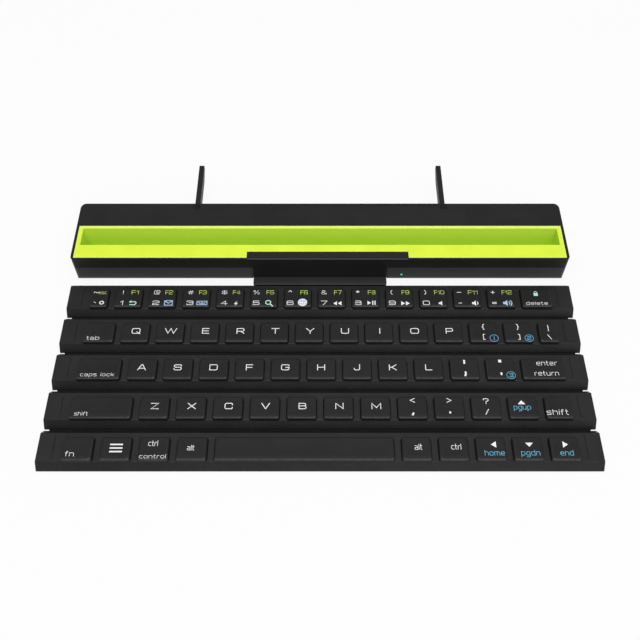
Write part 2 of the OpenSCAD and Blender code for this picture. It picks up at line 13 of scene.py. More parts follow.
import bmesh
import bpy
import numpy as np
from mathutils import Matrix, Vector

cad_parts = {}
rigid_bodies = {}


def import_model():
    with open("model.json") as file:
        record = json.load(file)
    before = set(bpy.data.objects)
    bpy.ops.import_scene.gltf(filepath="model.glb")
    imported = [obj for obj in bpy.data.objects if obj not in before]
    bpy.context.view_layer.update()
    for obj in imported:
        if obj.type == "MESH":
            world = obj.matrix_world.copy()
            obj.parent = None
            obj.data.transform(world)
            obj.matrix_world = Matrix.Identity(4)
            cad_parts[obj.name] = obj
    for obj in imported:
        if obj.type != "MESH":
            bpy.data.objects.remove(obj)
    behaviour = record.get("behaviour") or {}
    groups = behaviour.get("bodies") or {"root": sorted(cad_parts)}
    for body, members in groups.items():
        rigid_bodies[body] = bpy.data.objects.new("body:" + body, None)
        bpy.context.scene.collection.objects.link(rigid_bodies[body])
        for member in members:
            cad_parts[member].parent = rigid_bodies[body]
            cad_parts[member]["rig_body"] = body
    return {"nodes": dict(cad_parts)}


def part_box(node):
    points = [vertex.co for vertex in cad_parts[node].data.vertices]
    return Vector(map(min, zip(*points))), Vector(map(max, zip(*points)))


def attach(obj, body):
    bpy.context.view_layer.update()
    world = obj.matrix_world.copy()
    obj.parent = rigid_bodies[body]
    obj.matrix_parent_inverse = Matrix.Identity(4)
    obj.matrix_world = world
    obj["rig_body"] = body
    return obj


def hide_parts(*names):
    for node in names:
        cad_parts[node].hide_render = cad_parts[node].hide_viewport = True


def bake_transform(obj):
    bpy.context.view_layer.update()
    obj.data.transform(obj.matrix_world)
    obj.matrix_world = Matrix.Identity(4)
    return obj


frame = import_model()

log = logging.getLogger("keyboard")

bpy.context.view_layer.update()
MM = 0.001
Colour = tuple[float, float, float, float]
Shape = tuple[np.ndarray, list[tuple[int, ...]]]


def span(node: str) -> np.ndarray:
    """Returns a node's lowest and highest corners, in millimetres."""
    return np.array([list(corner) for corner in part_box(node)]) / MM


TAB_REACH = 0.75
BEAD_RADIUS = 0.4
ROW_FRONT, ROW_REAR = span("row_5_frame")[:, 1]
ROW_DEPTH = ROW_REAR - ROW_FRONT
ROW_PITCH = span("row_4_frame")[0, 1] - ROW_FRONT
ROW_TOP = span("row_5_frame")[1, 2]
KEYS_LEFT = span("row_1_keys")[0, 0] + TAB_REACH
KEYS_RIGHT = span("delete_key")[1, 0] - TAB_REACH
KEY_TOP = span("tab_key")[1, 2]
KEY_FRONT = span("tab_key")[0, 1] - span("row_2_frame")[0, 1]
BAR_FRONT = span("bar_base")[0, 1]
LIGHT_X, LIGHT_Z = span("status_light").mean(axis=0)[[0, 2]]

PACKED_FOOT, SHOWN_FOOT = 2.0, 1.3
ON_BEVEL = 0.03
WELD_REACH = 4e-6
SHARP_ANGLE = math.radians(32)


class Ink(Enum):
    """Inks that the legends are printed in."""

    WHITE = "white"
    LIME = "lime"
    BLUE = "blue"
    PALE = "pale"
    TEAL = "teal"


class Icon(Enum):
    """Small drawings that stand on keys."""

    BACK = "back"
    MAIL = "mail"
    BOARD = "board"
    BOLT = "bolt"
    SEARCH = "search"
    GLOBE = "globe"
    REWIND = "rewind"
    PLAY = "play"
    FORWARD = "forward"
    MUTE = "mute"
    QUIETER = "quieter"
    LOUDER = "louder"
    LOCK = "lock"
    LEFT = "left"
    RIGHT = "right"
    UP = "up"
    DOWN = "down"
    BARS = "bars"
    DOT = "dot"
    DISC = "disc"
    ONE = "one"
    TWO = "two"
    THREE = "three"


def tone(red: int, green: int, blue: int) -> Colour:
    """Turns an 8-bit display colour into linear light.

    Args:
        red: red, from 0 to 255.
        green: green, from 0 to 255.
        blue: blue, from 0 to 255.

    Returns:
        The linear colour with an alpha of 1.
    """
    linear = [c / 3294.6 if c <= 10 else ((c / 255 + 0.055) / 1.055) ** 2.4 for c in (red, green, blue)]
    return linear[0], linear[1], linear[2], 1.0


class Wire:
    """A shader socket that takes part in ordinary arithmetic."""

    def __init__(self, board: "Board", socket: bpy.types.NodeSocket) -> None:
        """Keeps the socket and the board that it is on."""
        self.board = board
        self.socket = socket

    def _math(self, operation: str, other: Union["Wire", float], swapped: bool = False) -> "Wire":
        """Adds one Math node.

        Args:
            operation: the Math node's operation.
            other: the second value.
            swapped: whether the other value comes first.

        Returns:
            The node's result.
        """
        pair = (other, self) if swapped else (self, other)
        return self.board.node("ShaderNodeMath", {"operation": operation}, {0: pair[0], 1: pair[1]})

    def __add__(self, other: Union["Wire", float]) -> "Wire":
        """Returns self + other."""
        return self._math("ADD", other)

    __radd__ = __add__

    def __sub__(self, other: Union["Wire", float]) -> "Wire":
        """Returns self - other."""
        return self._math("SUBTRACT", other)

    def __rsub__(self, other: Union["Wire", float]) -> "Wire":
        """Returns other - self."""
        return self._math("SUBTRACT", other, True)

    def __mul__(self, other: Union["Wire", float]) -> "Wire":
        """Returns self * other."""
        return self._math("MULTIPLY", other)

    __rmul__ = __mul__

    def __truediv__(self, other: Union["Wire", float]) -> "Wire":
        """Returns self / other."""
        return self._math("DIVIDE", other)

    def __abs__(self) -> "Wire":
        """Returns the value without its sign."""
        return self._math("ABSOLUTE", 0.0)

    def fraction(self) -> "Wire":
        """Returns the part after the decimal point."""
        return self._math("FRACT", 0.0)

    def least(self, other: Union["Wire", float]) -> "Wire":
        """Returns the smaller of the two."""
        return self._math("MINIMUM", other)

    def most(self, other: Union["Wire", float]) -> "Wire":
        """Returns the larger of the two."""
        return self._math("MAXIMUM", other)

    def between(self, low: float, high: float, start: float = 0.0, end: float = 1.0) -> "Wire":
        """Carries low..high smoothly to start..end.

        Args:
            low: where the change starts.
            high: where the change ends.
            start: the result at low.
            end: the result at high.

        Returns:
            The value carried over, level beyond both ends.
        """
        settings = {"interpolation_type": "SMOOTHSTEP"}
        return self.board.node("ShaderNodeMapRange", settings, {0: self, 1: low, 2: high, 3: start, 4: end})


class Board:
    """One material and the nodes that are added to it."""

    def __init__(self, name: str) -> None:
        """Starts an empty material."""
        self.material = bpy.data.materials.new(name)
        self.material.use_nodes = True
        self.tree = self.material.node_tree
        self.tree.nodes.clear()

    def node(
        self,
        kind: str,
        settings: Optional[dict] = None,
        values: Optional[dict] = None,
        output: Union[int, str] = 0,
    ) -> Wire:
        """Adds a node, its settings first and its sockets after them.

        Args:
            kind: the node's type.
            settings: properties of the node itself.
            values: values or wires, by the socket's name or number.
            output: which output is returned.

        Returns:
            The wire of that output.
        """
        made = self.tree.nodes.new(kind)
        for key, value in (settings or {}).items():
            setattr(made, key, value)
        for key, value in (values or {}).items():
            if isinstance(value, Wire):
                self.tree.links.new(value.socket, made.inputs[key])
            else:
                made.inputs[key].default_value = value
        return Wire(self, made.outputs[output])

    def place(self) -> Wire:
        """Returns the point on the object, in metres."""
        return self.node("ShaderNodeTexCoord", output="Object")

    def stretched(self, x: float, y: float, z: float) -> Wire:
        """Returns the point with each axis multiplied by its own number."""
        return self.node("ShaderNodeMapping", None, {"Vector": self.place(), "Scale": (x, y, z)})

    def axis(self, name: str) -> Wire:
        """Returns one coordinate of the point, in millimetres."""
        return self.node("ShaderNodeSeparateXYZ", None, {0: self.place()}, name) * 1000.0

    def noise(self, scale: float, detail: float = 2.0, where: Optional[Wire] = None) -> Wire:
        """Adds noise from 0 to 1.

        Args:
            scale: features per metre.
            detail: how many finer layers it has.
            where: the point, or None for the object's own.

        Returns:
            The noise value.
        """
        values = {"Vector": where or self.place(), "Scale": scale, "Detail": detail, "Roughness": 0.55}
        return self.node("ShaderNodeTexNoise", None, values, "Fac")

    def mixed(
        self, share: Union[Wire, float], first: Union[Wire, Colour], second: Union[Wire, Colour]
    ) -> Wire:
        """Returns the first colour where share is 0 and the second where it is 1."""
        return self.node("ShaderNodeMix", {"data_type": "RGBA"}, {0: share, 6: first, 7: second}, 2)

    def bump(self, height: Wire, depth: float) -> Wire:
        """Returns a normal that follows a height field of that depth in millimetres."""
        values = {"Height": height, "Distance": depth * MM, "Strength": 1.0}
        return self.node("ShaderNodeBump", None, values)

    def finish(self, values: dict) -> bpy.types.Material:
        """Ends the material in one surface shader.

        Args:
            values: the shader's values or wires, by socket name.

        Returns:
            The finished material.
        """
        shader = self.node("ShaderNodeBsdfPrincipled", None, values)
        self.node_output(shader)
        return self.material

    def node_output(self, shader: Wire) -> None:
        """Joins a shader to the material's output."""
        out = self.tree.nodes.new("ShaderNodeOutputMaterial")
        self.tree.links.new(shader.socket, out.inputs["Surface"])


def paler(shade: tuple[int, int, int], by: int) -> Colour:
    """Returns the display colour raised by that many steps in each channel."""
    red, green, blue = (min(255, max(0, c + by)) for c in shade)
    return tone(red, green, blue)


@dataclass(frozen=True)
class MouldedPlastic:
    """Spark-eroded moulded plastic: fine grain, faint clouding and flow marks, and painted highlights along
    marked edges.

    The colour clouds between the shade and a slightly paler one. The grain is noise at about a third of a
    millimetre, and the flow marks are noise stretched along X.
    """

    name: str
    shade: tuple[int, int, int]
    rough: float = 0.5
    specular: float = 0.3
    grain: float = 2600.0
    depth: float = 0.02
    cloud: int = 5
    sheen_lift: int = 0
    edge: Optional[tuple[float, float]] = None

    def make(self) -> bpy.types.Material:
        """Returns the material."""
        board = Board(self.name)
        cloud = board.noise(70.0, 3.0).between(0.35, 0.65)
        flow = board.noise(90.0, 2.0, board.stretched(0.12, 1.0, 1.0)).between(0.4, 0.7)
        grain = board.noise(self.grain, 2.0)
        base = board.mixed(cloud * 0.6 + flow * 0.4, tone(*self.shade), paler(self.shade, self.cloud))
        rough = self.rough + (grain - 0.5) * 0.22 + flow * 0.05
        # Painted highlight: paler, glossier patches where the edge_sheen attribute is set.
        if self.sheen_lift:
            painted_highlight = board.node("ShaderNodeAttribute", {"attribute_name": "edge_sheen"}, None, "Fac")
            painted_highlight = painted_highlight * board.noise(420.0, 3.0).between(0.25, 0.6, 0.55, 1.0)
            base = board.mixed(painted_highlight, base, paler(self.shade, self.sheen_lift))
            rough = rough - painted_highlight * 0.14
        # Painted highlight: a paler line along the given upper front edge.
        if self.edge:
            off_y, off_z = board.axis("Y") - self.edge[0], board.axis("Z") - self.edge[1]
            line = (off_y * off_y + off_z * off_z).between(0.1, 0.5, 1.0, 0.0)
            base = board.mixed(line, base, paler(self.shade, 30))
        pits = grain + board.noise(self.grain * 0.35, 1.0) * 0.6
        return board.finish({
            "Base Color": base,
            "Roughness": rough,
            "Specular IOR Level": self.specular,
            "Normal": board.bump(pits, self.depth),
        })


def front_edge(node: str) -> tuple[float, float]:
    """Returns Y and Z of a node's upper front edge."""
    low, high = span(node)
    return float(low[1]), float(high[2])


@dataclass(frozen=True)
class GroovePlastic:
    """Bright plastic of the groove: a light flange, channel walls in a darker painted shade, and painted
    highlights along the edges.

    The channel's painted shade takes over from 0.2 to 0.6 mm below the top. The painted highlight lies on the
    top within half a millimetre of the front edge and the ends, and on the rim behind the channel.
    """

    name: str
    flange: tuple[int, int, int]
    channel_shade: tuple[int, int, int]
    painted_highlight: tuple[int, int, int]
    low: tuple[float, float, float]
    high: tuple[float, float, float]

    def make(self) -> bpy.types.Material:
        """Returns the material."""
        board = Board(self.name)
        low, high = [float(v) for v in self.low], [float(v) for v in self.high]
        x, y, z = board.axis("X"), board.axis("Y"), board.axis("Z")
        # Painted shade: the channel walls turn darker from 0.2 to 0.6 mm below the top.
        deep = (high[2] - z).between(0.2, 0.6)
        # Painted highlight: paler along the front edge, the ends and the rim behind the channel, in patches.
        front = (y - low[1]).between(0.25, 0.6, 1.0, 0.0)
        ends = (high[0] - abs(x)).between(0.25, 0.6, 1.0, 0.0)
        rear = (high[1] - y).between(1.4, 1.7, 1.0, 0.0)
        patchy = board.noise(300.0, 3.0).between(0.25, 0.6, 0.55, 1.0)
        highlight_mask = front.most(ends).most(rear) * (1.0 - deep) * patchy
        cloud = board.noise(70.0, 3.0).between(0.35, 0.65)
        grain = board.noise(2600.0, 2.0)
        base = board.mixed(cloud, tone(*self.flange), paler(self.flange, -6))
        base = board.mixed(deep, base, tone(*self.channel_shade))
        base = board.mixed(highlight_mask, base, tone(*self.painted_highlight))
        return board.finish({
            "Base Color": base,
            "Roughness": 0.42 + (grain - 0.5) * 0.2 - highlight_mask * 0.08,
            "Specular IOR Level": 0.3,
            "Normal": board.bump(grain, 0.012),
        })


@dataclass(frozen=True)
class RowShell:
    """Moulded plastic of the key rows, with a painted highlight along the long edges of the flat top.

    The painted highlight is strongest where the point's height is the top's and its distance along Y to the
    nearest long edge is under a fifth of a millimetre; the rows repeat along Y.
    """

    name: str
    shade: tuple[int, int, int]
    # How much paler the painted highlight on the long edges is.
    rim: int
    front: float
    rear: float
    start: float
    pitch: float
    rough: float = 0.5

    def make(self) -> bpy.types.Material:
        """Returns the material."""
        board = Board(self.name)
        y, z = board.axis("Y"), board.axis("Z")
        local = ((y - self.start) / self.pitch).fraction() * self.pitch
        edge = abs(local - self.front).least(abs(local - self.rear))
        height = z.between(4.6, 4.9)
        patchy = board.noise(260.0, 3.0, board.stretched(0.3, 1.0, 1.0)).between(0.3, 0.65, 0.5, 1.0)
        # Painted highlight: paler along the long top edges, in patches.
        painted_highlight = edge.between(0.1, 0.34, 1.0, 0.0) * height * patchy
        cloud = board.noise(65.0, 3.0).between(0.35, 0.65)
        dust = board.noise(900.0, 2.0).between(0.62, 0.8)
        grain = board.noise(2400.0, 2.0)
        base = board.mixed(cloud, tone(*self.shade), paler(self.shade, 5))
        base = board.mixed(dust * 0.25, base, paler(self.shade, 14))
        base = board.mixed(painted_highlight, base, paler(self.shade, self.rim))
        return board.finish({
            "Base Color": base,
            "Roughness": self.rough + (grain - 0.5) * 0.22 - painted_highlight * 0.12,
            "Specular IOR Level": 0.3,
            "Normal": board.bump(grain + board.noise(900.0, 1.0) * 0.5, 0.02),
        })


@dataclass(frozen=True)
class Elastomer:
    """Matt rubber with fine cross ribs and a little dust in them."""

    name: str
    shade: tuple[int, int, int]
    ribs: float = 0.0
    rough: float = 0.78

    def make(self) -> bpy.types.Material:
        """Returns the material."""
        board = Board(self.name)
        dust = board.noise(380.0, 4.0).between(0.45, 0.75)
        speck = board.noise(2100.0, 2.0)
        height = speck * 0.5
        if self.ribs:
            rib = abs((board.axis("X") * self.ribs).fraction() - 0.5).between(0.1, 0.35)
            height = height + rib * 1.5
            dust = dust * (1.0 - rib * 0.5)
        base = board.mixed(dust * 0.6, tone(*self.shade), paler(self.shade, 14))
        return board.finish({
            "Base Color": base,
            "Roughness": self.rough + (speck - 0.5) * 0.16,
            "Specular IOR Level": 0.25,
            "Normal": board.bump(height, 0.05),
        })


@dataclass(frozen=True)
class WorkedMetal:
    """Plated or drawn metal with fine lines along one axis and a few dull patches."""

    name: str
    shade: tuple[int, int, int]
    rough: float = 0.34
    along: tuple[float, float, float] = (0.08, 1.0, 1.0)

    def make(self) -> bpy.types.Material:
        """Returns the material."""
        board = Board(self.name)
        lines = board.noise(3200.0, 3.0, board.stretched(*self.along))
        dull = board.noise(240.0, 4.0).between(0.45, 0.7)
        base = board.mixed(dull * 0.5, tone(*self.shade), paler(self.shade, -26))
        return board.finish({
            "Base Color": base,
            "Roughness": self.rough + (lines - 0.5) * 0.2 + dull * 0.14,
            "Metallic": 1.0,
            "Normal": board.bump(lines, 0.008),
        })


@dataclass(frozen=True)
class PrintedInk:
    """Screen-printed ink, slightly thinner in places."""

    name: str
    shade: tuple[int, int, int]

    def make(self) -> bpy.types.Material:
        """Returns the material."""
        board = Board(self.name)
        thin = board.noise(800.0, 3.0).between(0.55, 0.8)
        mesh = board.noise(3800.0, 1.0)
        base = board.mixed(thin * 0.35, tone(*self.shade), paler(self.shade, -34))
        return board.finish({
            "Base Color": base,
            "Roughness": 0.5 + (mesh - 0.5) * 0.2,
            "Specular IOR Level": 0.3,
            "Normal": board.bump(mesh, 0.008),
        })


@dataclass(frozen=True)
class CircuitSheet:
    """Solder-masked board or film with copper tracks under the mask.

    Tracks are the places where the fraction of X times a density lies near a half, broken up along Y by a
    second such pattern that runs the other way.
    """

    name: str
    mask: tuple[int, int, int]
    track: tuple[int, int, int]
    density: float = 0.55

    def make(self) -> bpy.types.Material:
        """Returns the material."""
        board = Board(self.name)
        x, y = board.axis("X"), board.axis("Y")
        wander = board.noise(120.0, 2.0).between(0.3, 0.7, 0.0, 1.0)
        first = abs((x * self.density + wander).fraction() - 0.5).between(0.12, 0.16, 1.0, 0.0)
        second = abs((y * self.density + wander * 2.0).fraction() - 0.5).between(0.1, 0.14, 1.0, 0.0)
        choose = board.noise(60.0, 1.0).between(0.49, 0.51)
        copper = first * choose + second * (1.0 - choose)
        base = board.mixed(copper, tone(*self.mask), tone(*self.track))
        return board.finish({
            "Base Color": base,
            "Roughness": 0.42 - copper * 0.1,
            "Coat Weight": 0.2,
            "Normal": board.bump(copper, 0.03),
        })


@dataclass(frozen=True)
class ShrinkWrap:
    """Printed film shrunk round a battery cell, with an overlap line and soft wrinkles at its ends."""

    name: str
    shade: tuple[int, int, int]
    half: float

    def make(self) -> bpy.types.Material:
        """Returns the material."""
        board = Board(self.name)
        x, z = board.axis("X"), board.axis("Z")
        end = abs(x).between(self.half - 2.5, self.half)
        wrinkle = board.noise(700.0, 3.0, board.stretched(0.2, 1.0, 1.0)) * end
        lap = abs(z - 9.6).between(0.12, 0.2, 1.0, 0.0)
        band = abs(abs(x) - (self.half - 5.0)).between(0.9, 1.0, 1.0, 0.0)
        base = board.mixed(band, tone(*self.shade), paler(self.shade, 60))
        base = board.mixed(lap * 0.7, base, paler(self.shade, -30))
        return board.finish({
            "Base Color": base,
            "Roughness": 0.3 + end * 0.12,
            "Normal": board.bump(wrinkle + lap * 0.5, 0.08),
        })


@dataclass(frozen=True)
class LitLens:
    """Clear lens over a small light, brighter in the middle of its face."""

    name: str
    glow: tuple[int, int, int]
    middle: tuple[float, float]

    def make(self) -> bpy.types.Material:
        """Returns the material."""
        board = Board(self.name)
        across, up = board.axis("X") - self.middle[0], board.axis("Z") - self.middle[1]
        far = (across * across + up * up).between(0.02, 0.5)
        shine = board.mixed(far, tone(*self.glow), paler(self.glow, -90))
        frost = board.noise(2600.0, 2.0)
        return board.finish({
            "Base Color": board.mixed(far, paler(self.glow, 20), paler(self.glow, -60)),
            "Roughness": 0.22 + frost * 0.1,
            "Emission Color": shine,
            "Emission Strength": 0.3,
            "Normal": board.bump(frost, 0.006),
        })


class Finishes:
    """Every finish of the keyboard, each made once."""

    def __init__(self) -> None:
        """Makes the materials."""
        # The rows' flat tops carry a painted highlight along their long edges.
        shell = RowShell("row_shell", (26, 26, 26), 5, KEY_FRONT, ROW_DEPTH - KEY_FRONT, ROW_FRONT, ROW_PITCH)
        kinds = {
            "row": shell,
            # Keycaps carry a painted highlight along their front shoulders.
            "key": MouldedPlastic("key_plastic", (29, 29, 29), 0.46, 0.2, sheen_lift=40),
            "tray": MouldedPlastic("tray_plastic", (29, 29, 30), 0.6, 0.25, grain=1500.0, depth=0.05),
            "bar_upper": MouldedPlastic("bar_upper_plastic", (31, 31, 31), 0.48, 0.2),
            # The lower shell's paler grey is a painted reflection of the floor on its lower front band.
            "bar_lower": MouldedPlastic("bar_lower_plastic", (61, 61, 61), 0.5, 0.25),
            # The cover and the bridge flap carry a painted highlight line along their upper front edges.
            "cover": MouldedPlastic(
                "cover_plastic", (31, 31, 31), 0.42, 0.22, cloud=3, edge=front_edge("bridge_cover")
            ),
            # Groove insert: channel walls in painted shade, edges with painted highlights.
            "green": GroovePlastic(
                "groove_plastic", (232, 255, 70), (202, 232, 74), (236, 255, 135), *span("tablet_groove")
            ),
            "arm": MouldedPlastic("arm_plastic", (20, 20, 20), 0.5, 0.35, cloud=4),
            "bridge": MouldedPlastic(
                "bridge_plastic", (45, 45, 45), 0.5, 0.25, edge=front_edge("bridge_link")
            ),
            "web": Elastomer("web_rubber", (17, 17, 18), ribs=0.9),
            "foot": Elastomer("foot_rubber", (40, 40, 41), ribs=0.6),
            "dome": Elastomer("dome_silicone", (178, 178, 172), rough=0.6),
            "pin": WorkedMetal("pin_blackened_steel", (50, 50, 52), 0.42),
            "screw": WorkedMetal("screw_steel", (150, 151, 155), 0.3, (1.0, 1.0, 0.1)),
            "magnet": WorkedMetal("magnet_plating", (170, 170, 174), 0.25),
            "gilt": WorkedMetal("contact_plating", (205, 170, 96), 0.28),
            "socket": WorkedMetal("socket_steel", (190, 192, 196), 0.3),
            "cell": ShrinkWrap("cell_film", (64, 92, 120), 22.25),
            "board": CircuitSheet("bar_board_mask", (22, 84, 44), (42, 122, 66), 0.8),
            "film": CircuitSheet("row_film_mask", (40, 86, 58), (150, 150, 140), 0.4),
            "lens": LitLens("light_lens", (60, 240, 190), (LIGHT_X, LIGHT_Z)),
            Ink.WHITE: PrintedInk("white_ink", (250, 251, 252)),
            Ink.LIME: PrintedInk("lime_ink", (205, 228, 120)),
            Ink.BLUE: PrintedInk("blue_ink", (110, 190, 226)),
            Ink.PALE: PrintedInk("pale_ink", (185, 212, 240)),
            Ink.TEAL: PrintedInk("teal_ink", (196, 236, 226)),
        }
        self.made = {key: kind.make() for key, kind in kinds.items()}

    def __getitem__(self, key: Union[str, Ink]) -> bpy.types.Material:
        """Returns the material of that name."""
        return self.made[key]


@dataclass
class Solid:
    """Points and faces of one surface, which grows as parts are added to it."""

    points: list[np.ndarray] = field(default_factory=list)
    faces: list[tuple[int, ...]] = field(default_factory=list)
    edge_sheen: list[np.ndarray] = field(default_factory=list)
    count: int = 0

    def add(
        self, points: np.ndarray, faces: Iterable[Sequence[int]], edge_sheen: Optional[np.ndarray] = None
    ) -> None:
        """Adds a closed part.

        Args:
            points: an array of points, in millimetres.
            faces: faces as point numbers of this part.
            edge_sheen: how strongly each point carries the painted highlight, from 0 to 1.
        """
        self.points.append(points)
        self.faces.extend(tuple(int(i) + self.count for i in face) for face in faces)
        self.edge_sheen.append(np.zeros(len(points)) if edge_sheen is None else edge_sheen)
        self.count += len(points)

    def piece(
        self,
        name: str,
        material: bpy.types.Material,
        body: Optional[str],
        replaces: Sequence[str] = (),
        slot: Optional[str] = None,
        crease: float = 40.0,
    ) -> bpy.types.Object:
        """Makes the object, its place in its mesh.

        Args:
            name: the piece's name.
            material: its finish.
            body: the body that it rides on, or None to leave it on none.
            replaces: the nodes that it stands for.
            slot: not used.
            crease: edges sharper than this many degrees stay crisp.

        Returns:
            The object.
        """
        mesh = bpy.data.meshes.new(name)
        mesh.from_pydata((np.concatenate(self.points) * MM).tolist(), [], self.faces)
        attribute = mesh.attributes.new("edge_sheen", "FLOAT", "POINT")
        attribute.data.foreach_set("value", np.concatenate(self.edge_sheen).astype(np.float32))
        mesh.polygons.foreach_set("use_smooth", np.ones(len(mesh.polygons), bool))
        mesh.set_sharp_from_angle(angle=math.radians(crease))
        mesh.materials.append(material)
        mesh.update()
        made = bpy.data.objects.new(name, mesh)
        bpy.context.scene.collection.objects.link(made)
        if body is not None:
            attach(made, body)
        if replaces:
            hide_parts(*replaces)
        log.info("%s: %d points", name, len(mesh.vertices))
        return made


def sleeve(rings: int, around: int) -> np.ndarray:
    """Returns the quads between neighbouring closed rings of points.

    Ring k holds points k * around to k * around + around - 1, and each quad joins a step of one ring to the
    same step of the next.

    Args:
        rings: how many rings there are.
        around: how many points each ring has.

    Returns:
        An array of quads.
    """
    ring, step = np.meshgrid(np.arange(rings - 1), np.arange(around), indexing="ij")
    here, there = ring * around, (ring + 1) * around
    after = (step + 1) % around
    return np.stack([here + step, here + after, there + after, there + step], -1).reshape(-1, 4)


def closed_sleeve(rings: int, around: int) -> list[tuple[int, ...]]:
    """Returns the quads of a sleeve and one face over each of its two ends."""
    first = tuple(range(around - 1, -1, -1))
    last = tuple(range((rings - 1) * around, rings * around))
    return [tuple(q) for q in sleeve(rings, around).tolist()] + [first, last]


def rounded_loops(
    middle_x: np.ndarray,
    middle_y: np.ndarray,
    half_x: np.ndarray,
    half_y: np.ndarray,
    radius: np.ndarray,
    steps: int,
) -> np.ndarray:
    """Works out one round-cornered rectangle per ring, anticlockwise from above.

    A point is its corner's centre plus the radius times the cosine and sine of its angle.

    Args:
        middle_x: the rectangles' middles along X.
        middle_y: the rectangles' middles along Y.
        half_x: half their widths.
        half_y: half their depths.
        radius: their corner radii.
        steps: how many steps a corner has.

    Returns:
        An array of shape (rings, 4 * (steps + 1), 2).
    """
    quarter = np.repeat(np.arange(4), steps + 1)
    angle = (quarter + np.tile(np.linspace(0, 1, steps + 1), 4)) * math.pi / 2
    side_x = np.array([1, -1, -1, 1])[quarter]
    side_y = np.array([1, 1, -1, -1])[quarter]
    radius = np.minimum(radius, np.minimum(half_x, half_y) * 0.98)
    x = middle_x[:, None] + side_x * (half_x - radius)[:, None] + radius[:, None] * np.cos(angle)
    y = middle_y[:, None] + side_y * (half_y - radius)[:, None] + radius[:, None] * np.sin(angle)
    return np.stack([x, y], -1)


def lathe(
    middle: Sequence[float], radii: Sequence[float], heights: Sequence[float], around: int
) -> np.ndarray:
    """Turns a profile about an upright line.

    A point is the middle plus its ring's radius times the cosine and sine of its angle, at the ring's height.

    Args:
        middle: the line's place in X and Y.
        radii: the radius of each ring, from the bottom up on the outside.
        heights: the height of each ring.
        around: how many points a ring has.

    Returns:
        The points, ring by ring.
    """
    angle = np.linspace(0, 2 * math.pi, around, endpoint=False)
    radius = np.asarray(radii, float)[:, None]
    x = middle[0] + radius * np.cos(angle)
    y = middle[1] + radius * np.sin(angle)
    z = np.broadcast_to(np.asarray(heights, float)[:, None], x.shape)
    return np.stack([x, y, z], -1).reshape(-1, 3)


